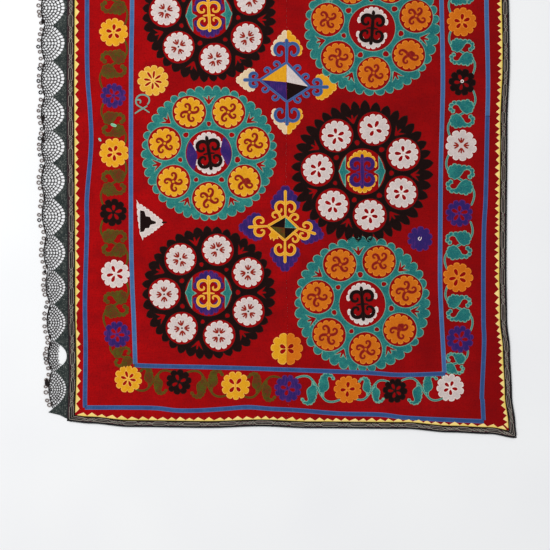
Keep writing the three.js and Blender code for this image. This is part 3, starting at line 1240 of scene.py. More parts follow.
@dataclass
class Border:
    """The border's flowers, each with its thread and size, and the scrolls between them."""

    def rows(self) -> dict[str, list[tuple[float, float, float, Thread]]]:
        """Returns each side's flowers, in order."""
        corner_foot_left = (-458, -893, 43, YELLOW)
        corner_foot_right = (540, -920, 43, WHITE)
        corner_head_left = (-490, 935, 43, BLACK)
        corner_head_right = (585, 948, 44, PURPLE)
        return {
            "left": [
                corner_head_left, (-505, 760, 43, PURPLE), (-503, 572, 44, WHITE), (-502, 380, 43, BLACK),
                (-503, 182, 45, YELLOW), (-504, -15, 40, PURPLE), (-502, -192, 46, YELLOW),
                (-504, -376, 43, BLACK), (-498, -567, 45, WHITE), (-493, -755, 42, PURPLE), corner_foot_left,
            ],
            "foot": [
                corner_foot_left, (-301, -902, 40, BLACK), (-126, -913, 45, YELLOW), (37, -922, 43, PURPLE),
                (222, -925, 43, ORANGE), (369, -929, 39, BLACK), corner_foot_right,
            ],
            "right": [
                corner_head_right, (572, 765, 44, ORANGE), (570, 585, 43, WHITE), (574, 402, 43, PURPLE),
                (576, 214, 46, ORANGE), (577, 27, 43, BLACK), (574, -169, 49, WHITE), (568, -379, 43, PURPLE),
                (564, -578, 47, ORANGE), (570, -769, 43, PURPLE), corner_foot_right,
            ],
            "head": [
                corner_head_left, (-320, 942, 42, YELLOW), (-150, 945, 43, WHITE), (25, 944, 43, PURPLE),
                (210, 946, 43, ORANGE), (400, 946, 42, BLACK), corner_head_right,
            ],
        }

    def build(self, cloth: Cloth) -> None:
        """Makes each flower once, and the scrolls between neighbours."""
        made: set[Point] = set()
        drops = {"left": (5,) * 10 + (6,), "foot": (6, 4, 4, 4, 4, 5, 5)}
        for side, flowers in self.rows().items():
            for i, (x, y, radius, petals) in enumerate(flowers):
                if (x, y) in made:
                    continue
                made.add((x, y))
                count = drops.get(side, (5,) * 11)[i]
                colour = petals.upright() if petals is PURPLE else petals
                lobes = 11 if petals is not BLACK else 10
                forked = (x, y) in FORKED
                patches = flower(Placing(x, y), radius, colour, lobes, 0 if forked else count, i)
                for turn in (0, 90, 180, 270) if forked else ():
                    spot = turned((7.5, 0), turn)
                    patches += bird_foot(Placing(x + spot[0], y + spot[1], turn), CRIMSON)
                if (x, y) == RINGED:
                    loop = Placing(x, y + 3).all(ring(4, 12) + [(4, 0)])
                    patches.append(Stroke(loop, (3, 3, 3), WHITE, 0.9, 2.5, True))
                embroidered(f"border_flower_{side}_{i:02d}", patches, cloth)
            level = side in ("foot", "head")
            for i, (a, b) in enumerate(zip(flowers, flowers[1:])):
                line = OLIVE if side == "left" or (level and a[0] + b[0] < 0) else TEAL
                flip = i % 2 == (1 if side == "left" else 0)
                patches = scroll(a[:2], b[:2], flip, level, line)
                embroidered(f"border_scroll_{side}_{i:02d}", patches, cloth)


FLEURON_CURL = [(0, 32), (5, 39), (15, 43), (25, 39), (30, 29), (28, 18), (20, 12), (12, 15), (13, 24)]
FLEURON_CAP = [(-31, 20), (-43, 34), (-35, 56), (-18, 76), (0, 92), (18, 76), (35, 56), (43, 34), (31, 20)]
# How far out a tip's cap reaches, as drawn.
FLEURON_REACH = 92
FLEURON_CAP_INSIDE = [(26, 28), (25, 38), (13, 45), (0, 48), (-13, 45), (-25, 38), (-26, 28)]


@dataclass
class HornedDiamond:
    """A quartered diamond with a horned tip at each corner, across the seam."""

    name: str
    corners: dict[str, Point]
    middle: Point
    line: Thread
    quarters: dict[str, Thread]
    caps: dict[str, tuple[Thread, Thread]]
    reach: dict[str, float]
    stems: dict[str, float]
    hooks: dict[str, list[tuple[float, bool]]]
    line_width: float
    edge_width: float
    hook_length: float
    shift: dict[str, float] = field(default_factory=dict)
    flare: Loop = field(default_factory=list)
    curl_size: dict[str, float] = field(default_factory=dict)
    curl_shift: dict[str, float] = field(default_factory=dict)

    def tips(self) -> list[Patch]:
        """Returns the four tips with their caps."""
        patches: list[Patch] = []
        aims = {"head": 0, "left": 90, "foot": 180, "right": -90}
        for side, aim in aims.items():
            x, y = self.corners[side]
            at = Placing(x, y, aim + self.shift.get(side, 0.0), self.reach[side] / FLEURON_REACH)
            pair, wide = self.caps[side], self.line_width
            grow, shift = self.curl_size.get(side, 1.0), self.curl_shift.get(side, 0.0)
            outer = lobed_line(FLEURON_CAP, 10, 5.0)
            inside = smooth([(px * grow, py * grow + shift) for px, py in FLEURON_CAP_INSIDE], 4)
            half, cut = len(outer) // 2, len(inside) // 2
            if pair[0] is pair[1]:
                halves = [(pair[0], outer + inside)]
            else:
                halves = [
                    (pair[0], outer[: half + 1] + inside[cut:]),
                    (pair[1], outer[half:] + inside[: cut + 1]),
                ]
            for petals, loop in halves:
                patches.append(Fill([at.all(loop)], petals, at.point((0, 0)), 0.55))
            stem = self.stems[side] / at.size
            path = at.all([(0, -2), (0, stem * 0.3), (0, stem * 0.6), (0, stem)])
            patches.append(Stroke(path, (wide * 0.7, wide, wide * 1.15), self.line, 1.0))
            for flip in (-1, 1):
                path = at.all(smooth([(px * flip * grow, py * grow + shift) for px, py in FLEURON_CURL], 4))
                widths = (wide, wide * 1.05, wide * 0.6)
                patches.append(Stroke(path, widths, self.line, 0.95 + 0.02 * flip))
        return patches

    def edges(self) -> list[Patch]:
        """Returns the diamond's outline and the hooks on it."""
        order = ["head", "right", "foot", "left"]
        patches: list[Patch] = []
        for side, after in zip(order, order[1:] + order[:1]):
            a, b = Vector(self.corners[side]), Vector(self.corners[after])
            wide = self.edge_width
            edge = [tuple(a), tuple(a.lerp(b, 0.5)), tuple(b)]
            patches.append(Stroke(edge, (wide, wide, wide), self.line, 0.9))
            along = math.degrees(math.atan2((b - a).y, (b - a).x))
            for share, forwards in self.hooks[side]:
                spot = a.lerp(b, share)
                at = Placing(spot.x, spot.y, along, 1.0, forwards)
                path = curl((6, -1), 62, self.hook_length, 300, 1.7, 16)
                patches.append(Stroke(at.all(path), (wide * 1.15, wide, wide * 0.7), self.line, 0.92))
        if self.flare:
            patches.append(Fill([self.flare], self.line, self.middle, 0.93))
        return patches

    def quarter_patches(self) -> list[Patch]:
        """Returns the four quarters, a little inside the outline."""
        middle = Vector(self.middle)
        patches: list[Patch] = []
        order = {"head_left": ("head", "left"), "head_right": ("right", "head"),
                 "foot_left": ("left", "foot"), "foot_right": ("foot", "right")}
        for name, (first, second) in order.items():
            a, b = (Vector(self.corners[side]).lerp(middle, 0.04) for side in (first, second))
            nudge = ((a + b) / 2 - middle).normalized() * 0.5
            loop = [tuple(p + nudge) for p in (middle, a, b)]
            patches.append(Fill([loop], self.quarters[name].upright(), self.middle, 0.6))
        return patches

    def build(self, cloth: Cloth) -> None:
        """Makes the diamond's pieces."""
        embroidered(f"{self.name}_quarters", self.quarter_patches(), cloth)
        embroidered(f"{self.name}_outline", self.tips() + self.edges(), cloth)


def diamonds() -> list[HornedDiamond]:
    """Returns the three diamonds down the middle of the cloth."""
    violet = PURPLE.upright()

    def yellow_one(name: str, y: float) -> HornedDiamond:
        """Returns a yellow diamond with purple caps."""
        return HornedDiamond(
            name,
            {"head": (29, y + 37), "right": (70, y - 2), "foot": (28, y - 40), "left": (-26, y + 5)},
            (27, y),
            YELLOW,
            {"head_left": BLACK, "head_right": TEAL, "foot_left": OLIVE, "foot_right": BLACK},
            {side: (violet, violet) for side in ("head", "left", "foot", "right")},
            {"head": 92.0, "left": 88.0, "foot": 94.0, "right": 80.0},
            {"head": 80.0, "left": 61.0, "foot": 70.0, "right": 57.0},
            {"head": [(0.42, True)], "right": [(0.5, True)], "foot": [], "left": [(0.62, False)]},
            8.4,
            7.6,
            60.0,
            {"right": -18.0, "left": 3.0},
            [
                (-19, y - 1), (-15, y - 14), (-22, y - 22), (-17, y - 38), (-11, y - 31), (-8, y - 42),
                (-2, y - 34), (7, y - 35), (6, y - 27), (14, y - 29), (13, y - 24),
            ],
        )

    blue = HornedDiamond(
        "diamond_blue",
        {"head": (33, 88), "right": (106, 12), "foot": (34, -34), "left": (-50, 34)},
        (33, 27),
        BLUE,
        {"head_left": YELLOW, "head_right": WHITE, "foot_left": PURPLE, "foot_right": BLACK},
        {"head": (CREAM, YELLOW), "left": (CREAM, CREAM), "foot": (YELLOW, CREAM), "right": (YELLOW, YELLOW)},
        {"head": 98.0, "left": 72.0, "foot": 98.0, "right": 80.0},
        {"head": 74.0, "left": 52.0, "foot": 74.0, "right": 58.0},
        {
            "head": [(0.35, True), (0.7, True)],
            "right": [(0.25, False), (0.62, False)],
            "foot": [(0.35, True), (0.72, True)],
            "left": [(0.35, False), (0.7, False)],
        },
        10.0,
        7.4,
        48.0,
        curl_size={"head": 1.14, "foot": 1.14, "left": 0.92, "right": 0.92},
        curl_shift={"head": 7.0, "foot": 7.0},
    )
    return [yellow_one("diamond_yellow_foot", -424), blue, yellow_one("diamond_yellow_head", 479)]


@dataclass
class FieldMotifs:
    """What is worked between the medallions."""

    def split_flower(self, name: str, y: float, cloth: Cloth) -> None:
        """Makes a flower across the seam, of one yellow on each panel."""
        outline = lobed(51, 10, 10, 0.05, 0.0, 20, 4)
        holes = [[turned(p, 60 * i + 32) for p in drop(20, 15, 4)] for i in range(6)]
        for side, petals in ((-1, YELLOW), (1, ORANGE)):
            shape = [p for p in outline if p[0] * side >= 0.5]
            shape.sort(key=lambda p: math.atan2(p[1], p[0] * side))
            shape = [(0.4 * side, -44.0)] + shape + [(0.4 * side, 44.0)]
            marks = [h for h in holes if all(p[0] * side > 1.2 for p in h)]
            spot = Placing(33.5, y)
            loops = [spot.all(shape)] + [spot.all(mark) for mark in marks]
            piece = f"{name}_{'left' if side < 0 else 'right'}"
            embroidered(piece, [Fill(loops, petals, (33.5, y))], cloth)

    def amulet(self, cloth: Cloth) -> None:
        """Makes the white lobed triangle with its stepped black one."""
        outer = lobed_line([(-430, -347), (-426, -400), (-418, -450)], 5, -2.5)
        outer += [(-413, -463)] + lobed_line([(-410, -452), (-383, -436), (-350, -409)], 6, -4)
        outer += lobed_line([(-352, -405), (-385, -379), (-423, -352)], 7, -4) + [(-433, -336)]
        inside = [
            (-421, -370), (-421, -438), (-409, -436), (-405, -426), (-393, -425), (-389, -415),
            (-372, -411), (-372, -405), (-386, -400), (-391, -390), (-403, -388), (-408, -372),
        ]
        patches: list[Patch] = [
            Fill([outer, inside], WHITE, (-405, -405)),
            Fill([inside], BLACK, (-405, -405), 0.6),
            Stroke([(-354, -408), (-346, -407), (-338, -407)], (6, 5, 3), BLACK, 0.9, 3),
        ]
        embroidered("amulet_triangle", patches, cloth)

    def sprig(self, x: float, y: float, name: str, cloth: Cloth) -> None:
        """Makes a pale ram's-horn sprig."""
        ribbon = [
            (14, 0), (20, 10), (19, 22), (8, 30), (-6, 31), (-17, 24),
            (-21, 12), (-19, 2), (-10, -5), (0, -10), (12, -18), (22, -25),
        ]
        crossing = [(15, -3), (6, -8), (-6, -15), (-16, -21), (-25, -28)]
        inner = [(-20, 14), (-12, 16), (-6, 11), (-9, 4)]
        patches: list[Patch] = [
            Stroke(smooth([(x + px, y + py) for px, py in path], 4), (4.5, 5.0, 3.6), PALE_TEAL, rise, 3.0)
            for path, rise in ((ribbon, 0.85), (crossing, 0.9), (inner, 0.88))
        ]
        embroidered(name, patches, cloth)

    def build(self, cloth: Cloth) -> None:
        """Makes them all."""
        self.split_flower("split_flower_foot", -799, cloth)
        self.split_flower("split_flower_head", 815, cloth)
        self.amulet(cloth)
        self.sprig(-413, -43, "pale_sprig", cloth)
        violet, mint = PURPLE.upright(), MINT.upright()
        embroidered("field_flower_straw", flower(Placing(-381, 32), 49, STRAW, 11, 8, 31, 0.6), cloth)
        embroidered("field_flower_purple", flower(Placing(447, -459), 40, violet, 10, 0, 32), cloth)
        embroidered("field_flower_purple_head", flower(Placing(455, 420), 40, violet, 10, 0, 33), cloth)
        loop = smooth([(445, -452), (441, -458), (445, -463), (450, -458), (450, -452)], 3)
        marks: list[Patch] = [
            Stroke(loop, (2.5, 2.5, 2), WHITE, 1.0, 2),
            Stroke([(-512, -103), (-504, -106), (-494, -109)], (8, 9, 8), mint, 1.0, 3),
            Stroke([(-549, -146), (-546, -151), (-542, -156)], (6, 7, 5), mint, 0.9, 3),
        ]
        embroidered("small_marks", marks, cloth)


@dataclass
class Band:
    """A narrow blue band between two places on the cloth."""

    name: str
    path: Loop
    tone: Thread
    width: float = 13.5

    def build(self, cloth: Cloth) -> None:
        """Makes the band."""
        wide = self.width
        stroke = Stroke(smooth(self.path, 6), (wide, wide, wide), self.tone.ladder(), 0.8, 8.0, True)
        embroidered(self.name, [stroke], cloth)


def bands() -> list[Band]:
    """Returns the outer and inner blue bands, side by side."""
    paths = {
        "outer_left": [
            (-585, 1003), (-583, 600), (-586, 200), (-584, 43), (-576, -64), (-573, -170), (-586, -332),
            (-586, -437), (-592, -648), (-590, -800), (-592, -958), (-591, -981),
        ],
        "outer_foot": [
            (-592, -981), (-391, -982), (-310, -990), (-236, -990), (-158, -985), (-87, -980), (-19, -985),
            (74, -990), (198, -1000), (322, -1003), (406, -1013), (570, -1021), (644, -1024),
        ],
        "outer_right": [
            (643, -1020), (640, -958), (638, -942), (645, -781), (643, -710), (643, -524), (645, -415),
            (650, -322), (655, -77),
        ],
        "outer_right_head": [(655, -80), (657, 43), (652, 300), (655, 700), (660, 1008)],
        "outer_head": [(-585, 1003), (-200, 1007), (200, 1004), (660, 1010)],
        "inner_left": [
            (-447, 882), (-450, 600), (-446, 300), (-449, 43), (-449, -462), (-440, -728), (-436, -846),
        ],
        "inner_foot": [
            (-437, -849), (-391, -852), (-174, -857), (12, -863), (279, -873), (384, -880), (524, -876),
        ],
        "inner_right": [
            (522, -874), (517, -781), (509, -620), (509, -462), (511, -223), (517, 43), (512, 400),
            (520, 885),
        ],
        "inner_head": [(-447, 882), (-100, 887), (250, 883), (520, 887)],
    }
    faded = ("outer_right_head", "inner_left", "inner_right")
    return [Band(f"band_{name}", path, PALE_BLUE if name in faded else BLUE) for name, path in paths.items()]


# The pieces of cloth, tape and lace.


@dataclass
class Panel:
    """One width of red cotton."""

    name: str
    left_edge: Callable[[float], float]
    right_edge: Callable[[float], float]
    flat: tuple[float, float]
    cells: tuple[int, int] = (60, 150)

    def build(self, cloth: Cloth) -> bpy.types.Object:
        """Returns the panel as a thin closed sheet."""

        def foot(x: float) -> float:
            """Returns the panel's lower edge."""
            return cloth.inner("foot", x) + cloth.gap

        def head(x: float) -> float:
            """Returns the panel's upper edge."""
            return cloth.inner("head", x) - cloth.gap

        foot_left, foot_right = meeting(self.left_edge, foot), meeting(self.right_edge, foot)
        head_left, head_right = meeting(self.left_edge, head), meeting(self.right_edge, head)
        bm = bmesh.new()
        stitch = bm.verts.layers.float_vector.new("stitch")
        bmesh.ops.create_grid(bm, x_segments=self.cells[0], y_segments=self.cells[1], size=0.5)
        for v in bm.verts:
            across, up = v.co.x + 0.5, v.co.y + 0.5
            left = self.left_edge(lerp(foot_left[1], head_left[1], up))
            right = self.right_edge(lerp(foot_right[1], head_right[1], up))
            low = foot(lerp(foot_left[0], foot_right[0], across))
            high = head(lerp(head_left[0], head_right[0], across))
            x, y = lerp(left, right, across), lerp(low, high, up)
            v.co = (x, y, cloth.top(x, y))
            v[stitch] = (x, y, 0.0)
        close_below(bm, lambda z: max(0.0, z - cloth.panel))
        piece = joined(self.name, [finished(bm)], [RED_COTTON.material()])
        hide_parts(self.name.removesuffix("_cloth"))
        return piece


@dataclass
class SideStrip:
    """A strip along one side of the cloth, between its outer and inner edge."""

    side: str

    @property
    def upright(self) -> bool:
        """Returns whether the side runs up the cloth."""
        return self.side in ("left", "right")

    @property
    def inward(self) -> int:
        """Returns which way is into the cloth."""
        return 1 if self.side in ("left", "foot") else -1

    def ends(self, cloth: Cloth, edge: str) -> tuple[float, float]:
        """Returns the first and last place along the outer or inner edge."""
        if self.upright:
            return cloth.corner(edge, self.side, "foot")[1], cloth.corner(edge, self.side, "head")[1]
        return cloth.corner(edge, "left", self.side)[0], cloth.corner(edge, "right", self.side)[0]

    def spot(self, cloth: Cloth, share: float, across: float) -> Point:
        """Returns a point of the strip: a share along it, and a share from its outer to its inner edge."""
        first = lerp(self.ends(cloth, "outer")[0], self.ends(cloth, "inner")[0], across)
        last = lerp(self.ends(cloth, "outer")[1], self.ends(cloth, "inner")[1], across)
        place = lerp(first + cloth.gap, last - cloth.gap, share)
        depth = cloth.outer(self.side, place) + self.inward * cloth.tape_width[self.side] * across
        return (depth, place) if self.upright else (place, depth)


@dataclass
class Tape(SideStrip):
    """The dark braided tape along one side."""

    cord: float = 1.5
    lattice: float = 96.0
    tall: float = 2.1

    def strip(self, cloth: Cloth) -> bpy.types.Mesh:
        """Returns the tape's ground, with rounded edges and the fold at its rim."""
        bm = bmesh.new()
        stitch = bm.verts.layers.float_vector.new("stitch")
        first, last = self.ends(cloth, "outer")
        bmesh.ops.create_grid(bm, x_segments=round((last - first) / 9), y_segments=8, size=0.5)
        for v in bm.verts:
            share, across = v.co.x + 0.5, v.co.y + 0.5
            across = 0.5 + math.copysign(abs(2 * across - 1) ** 0.75, across - 0.5) / 2
            x, y = self.spot(cloth, share, across)
            edge, run = abs(2 * across - 1), share * (last - first)
            v[stitch] = (across * 25, run, edge)
            v.co = (x, y, self.tall * math.sqrt(max(0.02, 1 - edge**6)) + 0.08 * math.sin(run / 7))
        close_below(bm, lambda z: 0.0)
        return finished(bm)

    def cord_path(self, cloth: Cloth, offset: float, phase: float) -> Loop:
        """Returns a cord's path: straight for a stretch, then laced over the others for a stretch."""
        first, last = self.ends(cloth, "outer")
        path = []
        for place in spaced(0.0, 1.0, 5.0 / (last - first)):
            run = place * (last - first)
            cycle = (run / self.lattice + 0.3 * math.sin(run / 170)) % 1
            laced = min(1.0, max(0.0, (cycle - 0.4) * 12)) * min(1.0, max(0.0, (1 - cycle) * 12))
            zigzag = 0.52 + 0.28 * (2 * abs(2 * ((run / 23 + phase) % 1) - 1) - 1)
            path.append(self.spot(cloth, place, lerp(offset, zigzag, laced)))
        return path

    def build(self, cloth: Cloth) -> bpy.types.Object:
        """Returns the tape."""
        flat = cloth.level(self.tall + 0.05)
        # Each cord's place across the tape, its phase where it is laced, its width and its finish.
        cords = [
            (0.07, None, 4.0, TAPE_RIM),
            (0.3, 0.0, self.cord, PALE_CORD),
            (0.78, 0.5, 0.9 * self.cord, PALE_CORD),
            (0.55, 0.25, 1.0, PALE_CORD),
            (0.33, None, 1.6, BROWN_CORD),
            (0.71, None, 1.4, BROWN_CORD),
            (0.94, None, 2.0, OLIVE_CORD),
            (0.51, None, 2.0, DARK_CORD),
        ]
        if self.side == "left":
            cords.append((0.13, None, 3.0, BROWN_CORD))
        materials = [TAPE_BRAID] + list(dict.fromkeys(c[3] for c in cords))
        parts = [self.strip(cloth)]
        for offset, phase, wide, finish in cords:
            if phase is None:
                path, step = [self.spot(cloth, s, offset) for s in spaced(0.004, 0.996, 0.006)], 12.0
                rise = 0.35 if finish in (DARK_CORD, BROWN_CORD) else 0.5
            else:
                path, rise, step = self.cord_path(cloth, offset, phase), 0.7, 5.0
            stroke = Stroke(path, (wide, wide, wide), ANY_THREAD, rise, step, True)
            parts.append(stroke.mesh(flat, materials.index(finish)))
        piece = joined(f"tape_{self.side}_braid", parts, [m.material() for m in materials])
        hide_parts(f"tape_{self.side}")
        return piece


def add_fold(bm: bmesh.types.BMesh, corners: Sequence[FoldCorner]) -> None:
    """Adds one folded triangle.

    Args:
        bm: the strip's mesh, with its stitch layer.
        corners: each corner's place, height and stitch value. The last is the middle of the fold.
    """
    stitch = bm.verts.layers.float_vector["stitch"]
    made = []
    for (x, y), z, mark in corners:
        v = bm.verts.new((x, y, z))
        v[stitch] = mark
        made.append(v)
    centre = made.pop()
    for a, b in zip(made, made[1:] + made[:1]):
        bm.faces.new((a, b, centre))


# Each strip's height and pitch of points.
POINT_SIZES = {"left": (12.6, 26.5), "right": (14.0, 21.5), "foot": (10.8, 29.0), "head": (10.8, 29.0)}


@dataclass
class FoldedPoints(SideStrip):
    """The folded yellow points along one side."""

    clearance: float = 7.0
    crushed: tuple[float, float] = (-752, -712)

    def at(self, cloth: Cloth, place: float, out: float) -> Point:
        """Returns a point at a place along the strip and a distance in from the tape."""
        depth = cloth.inner(self.side, place) + self.inward * (cloth.gap + out)
        return (depth, place) if self.upright else (place, depth)

    def build(self, cloth: Cloth) -> bpy.types.Object:
        """Returns the points, each a folded triangle on a narrow band."""
        height, usual_pitch = POINT_SIZES[self.side]
        first, last = self.ends(cloth, "inner")
        base, end = first + 2 * cloth.gap + self.clearance, last - 2 * cloth.gap - self.clearance
        count = round((end - base) / usual_pitch)
        chance = random.Random(len(self.side) * 31 + 5)
        bm = bmesh.new()
        bm.verts.layers.float_vector.new("stitch")
        widths = [chance.uniform(0.82, 1.18) for _ in range(count)]
        scale = (end - base) / sum(widths)
        for i, width in enumerate(widths):
            pitch = width * scale
            tall = height * (1 + 0.12 * math.sin(i * 2.1)) * lerp(1, width, 0.4)
            slant = chance.uniform(-0.16, 0.16)
            tone = chance.uniform(0.0, 1.0)
            if self.side == "left" and self.crushed[0] < base < self.crushed[1]:
                tall *= 0.35
            lift = chance.uniform(0.0, 0.25)
            # Each corner: along, out, height, and a stitch value of a random tone (weaker at the tip and
            # crease), painted shade near the base, and a painted highlight towards the tip, stronger on the
            # left facet.
            shape = [
                (0.2, 0.0, 1.75, (tone, 1.0, 0.3)),
                (0.2, 2.0, 1.75, (tone, 0.6, 0.9)),
                ((0.5 + slant) * pitch, tall, 1.65, (tone * 0.4, 0.0, 1.0)),
                (pitch - 0.2, 2.0, 1.75, (tone, 0.6, 0.6)),
                (pitch - 0.2, 0.0, 1.75, (tone, 1.0, 0.3)),
                (0.5 * pitch, 0.0, 2.2, (tone, 1.0, 0.0)),
                ((0.5 + slant * 0.5) * pitch, tall * 0.42, 2.65, (tone * 0.8, 0.3, 0.0)),
            ]
            corners = [
                (self.at(cloth, base + along, out), z + lift, mark) for along, out, z, mark in shape
            ]
            add_fold(bm, corners)
            base += pitch
        bmesh.ops.recalc_face_normals(bm, faces=bm.faces[:])
        close_below(bm, lambda z: max(cloth.panel + 0.15, z - 1.0))
        piece = joined(f"points_{self.side}_folded", [finished(bm)], [YELLOW_COTTON.material()])
        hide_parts(f"points_{self.side}")
        return piece


@dataclass
class Scallop:
    """One scallop of the lace."""

    middle: float
    height: float

    def across(self, y: float) -> float:
        """Returns how far a height is from the scallop's middle, from 0 to 1."""
        return min(1.0, abs(2 * (y - self.middle) / self.height))


# The rings of cells in a scallop's net, as shares of its reach, and a cell's usual width.
NET_RINGS = (0.0, 0.15, 0.285, 0.415, 0.545, 0.675, 0.82, 1.0)
CELL_WIDTH = 12.2


@dataclass
class LaceEdging:
    """Crocheted edging down the left side: a heading with teeth, a net, and picots."""

    foot: float = -983.0
    tooth: float = 37.0
    heights: tuple[float, ...] = (115, 94, 113, 105, 109, 115, 109, 100, 106) + (110,) * 9
    edge: Table = Table(
        ((-990, -704), (-840, -708), (-660, -712), (-500, -721), (-340, -728), (30, -729), (990, -727))
    )
    notch: float = 11.0
    strand: float = 1.3
    tear: tuple[Point, ...] = (
        (-674, -803), (-668, -789), (-655, -787), (-652, -812), (-651, -823), (-654, -850), (-661, -858),
        (-671, -847), (-675, -825),
    )

    def scallops(self) -> list[Scallop]:
        """Returns the scallops from the foot to the head."""
        rows, top = [], self.foot
        for height in self.heights:
            top += height
            rows.append(Scallop(top - height / 2, height))
        return rows

    def arch(self, cloth: Cloth, scallop: Scallop, y: float) -> float:
        """Returns where the heading ends at a height within a scallop."""
        return cloth.left(y) - 5.0 - self.tooth * (1 - math.cos(math.pi / 2 * scallop.across(y))) ** 1.15

    def outer(self, scallop: Scallop, y: float) -> float:
        """Returns the net's outer edge at a height within a scallop."""
        return self.edge(y) + self.notch * (1 - math.cos(math.pi / 2 * scallop.across(y)))

    def reach(self, cloth: Cloth, scallop: Scallop, hub: Point, angle: float) -> float:
        """Returns how far the net runs from its hub in a direction."""
        low, high = 5.0, 130.0
        for _ in range(18):
            mid = (low + high) / 2
            x, y = hub[0] + mid * math.cos(angle), hub[1] + mid * math.sin(angle)
            out = abs(y - scallop.middle) > scallop.height / 2 or x > self.arch(cloth, scallop, y)
            low, high = (low, mid) if out else (mid, high)
        return low

    def spot(self, cloth: Cloth, scallop: Scallop, share: float, angle: float) -> Point:
        """Returns a point of a scallop's net: a share of the way out from its hub in a direction."""
        hub = (self.edge(scallop.middle) + 2.0, scallop.middle)
        far = self.reach(cloth, scallop, hub, angle) * share
        x, y = hub[0] + far * math.cos(angle), hub[1] + far * math.sin(angle)
        depth = max(0.0, 1 - (x - hub[0]) / 40)
        return x + self.notch * (1 - math.cos(math.pi / 2 * scallop.across(y))) * depth, y

    def cells(self, bm: bmesh.types.BMesh, cloth: Cloth, scallop: Scallop, chance: random.Random) -> None:
        """Adds the cells of a scallop's net, in rings round a hub on its outer edge, but not the torn ones.

        Args:
            bm: the net's empty mesh.
            cloth: the cloth.
            scallop: the scallop.
            chance: where its unevenness is drawn from.
        """
        stitch = bm.verts.layers.float_vector.new("stitch")
        for level, (inner, outer) in enumerate(zip(NET_RINGS, NET_RINGS[1:])):
            radius = 80 * (inner + outer) / 2
            count = max(3, round(math.pi * radius / CELL_WIDTH))
            steps = [i / count for i in range(count + 1)]
            if level % 2:
                steps = [0.0] + [(i + 0.5) / count for i in range(count)] + [1.0]
            jitter = [[chance.uniform(-0.7, 0.7) for _ in range(2)] for _ in steps]
            rims = []
            for share, row in ((inner, 0), (outer, 1)):
                rim = []
                for i, step in enumerate(steps):
                    x, y = self.spot(cloth, scallop, max(share, 0.01), math.pi * (step - 0.5) * 0.995)
                    v = bm.verts.new((x + jitter[i][row] * share, y + jitter[i][1 - row] * share, 1.55))
                    v[stitch] = (x, y, 0.0)
                    rim.append(v)
                rims.append(rim)
            for i in range(len(steps) - 1):
                cell = (rims[0][i], rims[0][i + 1], rims[1][i + 1], rims[1][i])
                centre = sum((v.co for v in cell), Vector()) / 4
                if not contains(self.tear, centre.x, centre.y):
                    bm.faces.new(cell)
        bmesh.ops.delete(bm, geom=[v for v in bm.verts if not v.link_faces], context="VERTS")

    def net(self, cloth: Cloth, scallop: Scallop, seed: int) -> bpy.types.Mesh:
        """Returns one scallop's net, its cells opened into rounded holes."""
        bm = bmesh.new()
        self.cells(bm, cloth, scallop, random.Random(seed))
        cells = bm.faces[:]
        crossings = set(bm.verts)
        bmesh.ops.inset_individual(bm, faces=cells, thickness=self.strand, depth=0.0, use_even_offset=True)
        holes = [face for face in cells if face.calc_area() > 1.0]
        centres = {}
        for face in holes:
            for edge in face.edges:
                middle = (edge.verts[0].co + edge.verts[1].co) / 2
                centres[round(middle.x, 3), round(middle.y, 3)] = face.calc_center_median()
        rims = list({edge for face in holes for edge in face.edges})
        bmesh.ops.delete(bm, geom=holes, context="FACES_ONLY")
        for v in bmesh.ops.subdivide_edges(bm, edges=rims, cuts=1)["geom_inner"]:
            if isinstance(v, bmesh.types.BMVert):
                centre = centres.get((round(v.co.x, 3), round(v.co.y, 3)), v.co)
                v.co += (v.co - centre) * 0.13
        for v in bm.verts:
            if v not in crossings:
                v.co.z = 1.15
            v.co.z += 0.12 * math.sin(v.co.x * 0.9) * math.sin(v.co.y * 1.1)
        close_below(bm, lambda z: max(0.0, 1.7 - z))
        return finished(bm)

    def heading(self, cloth: Cloth) -> bpy.types.Mesh:
        """Returns the solid heading with its teeth."""
        rows = self.scallops()
        top = rows[-1].middle + rows[-1].height / 2
        outline: Loop = []
        for scallop in rows:
            for y in spaced(scallop.middle - scallop.height / 2, scallop.middle + scallop.height / 2, 4)[:-1]:
                outline.append((self.arch(cloth, scallop, y), y))
        foot_x, head_x = cloth.left(self.foot), cloth.left(top)
        outline = [(foot_x - 58, self.foot - 13)] + outline
        outline += [(head_x - 44, top + 3), (head_x - 40, top + 22), (head_x - 0.3, top + 33)]
        outline += [(cloth.left(y) - cloth.gap, y) for y in spaced(top + 20, self.foot - 24, 24)]
        outline += [(foot_x - 0.3, self.foot - 33), (foot_x - 24, self.foot - 21)]
        flat = cloth.level(0.35)
        return Fill([outline], ANY_THREAD, (-650, 0), 1.25, 12.0).mesh(flat, 0)

    def picots(self, cloth: Cloth) -> list[bpy.types.Mesh]:
        """Returns the rings on stalks round the outer edge, and the firm cord that they grow from."""
        chance = random.Random(91)
        flat = cloth.level(0.6)
        parts = []
        for scallop in self.scallops():
            edge_path = [
                (self.outer(scallop, y) + 1.2 + chance.uniform(-0.5, 0.5), y)
                for y in spaced(scallop.middle - scallop.height / 2, scallop.middle + scallop.height / 2, 6)
            ]
            parts.append(Stroke(edge_path, (3.4, 2.6, 3.4), ANY_THREAD, 1.0, 6.0).mesh(flat, 2))
            for i in range(6):
                y = scallop.middle + scallop.height * ((i + 0.5) / 6 - 0.5) + chance.uniform(-2.4, 2.4)
                x = self.outer(scallop, y)
                far = 7.6 + chance.uniform(-1.8, 1.4)
                lean = chance.uniform(-3.0, 3.0)
                size = chance.uniform(4.2, 5.4)
                hub = (x - far, y + lean)
                stalk = [(x + 1, y), (x - far + size * 0.8, y + lean)]
                parts.append(Stroke(stalk, (2.6, 1.8, 2.0), ANY_THREAD, 0.9, 4).mesh(flat, 1))
                loop = [(hub[0] + px * chance.uniform(0.9, 1.1), hub[1] + py) for px, py in ring(size, 12)]
                finish = 2 if chance.random() < 0.2 else 1
                closed = loop + [loop[0]]
                parts.append(Stroke(closed, (2.9, 3.0, 2.9), ANY_THREAD, 0.9, 2.8, True).mesh(flat, finish))
        return parts

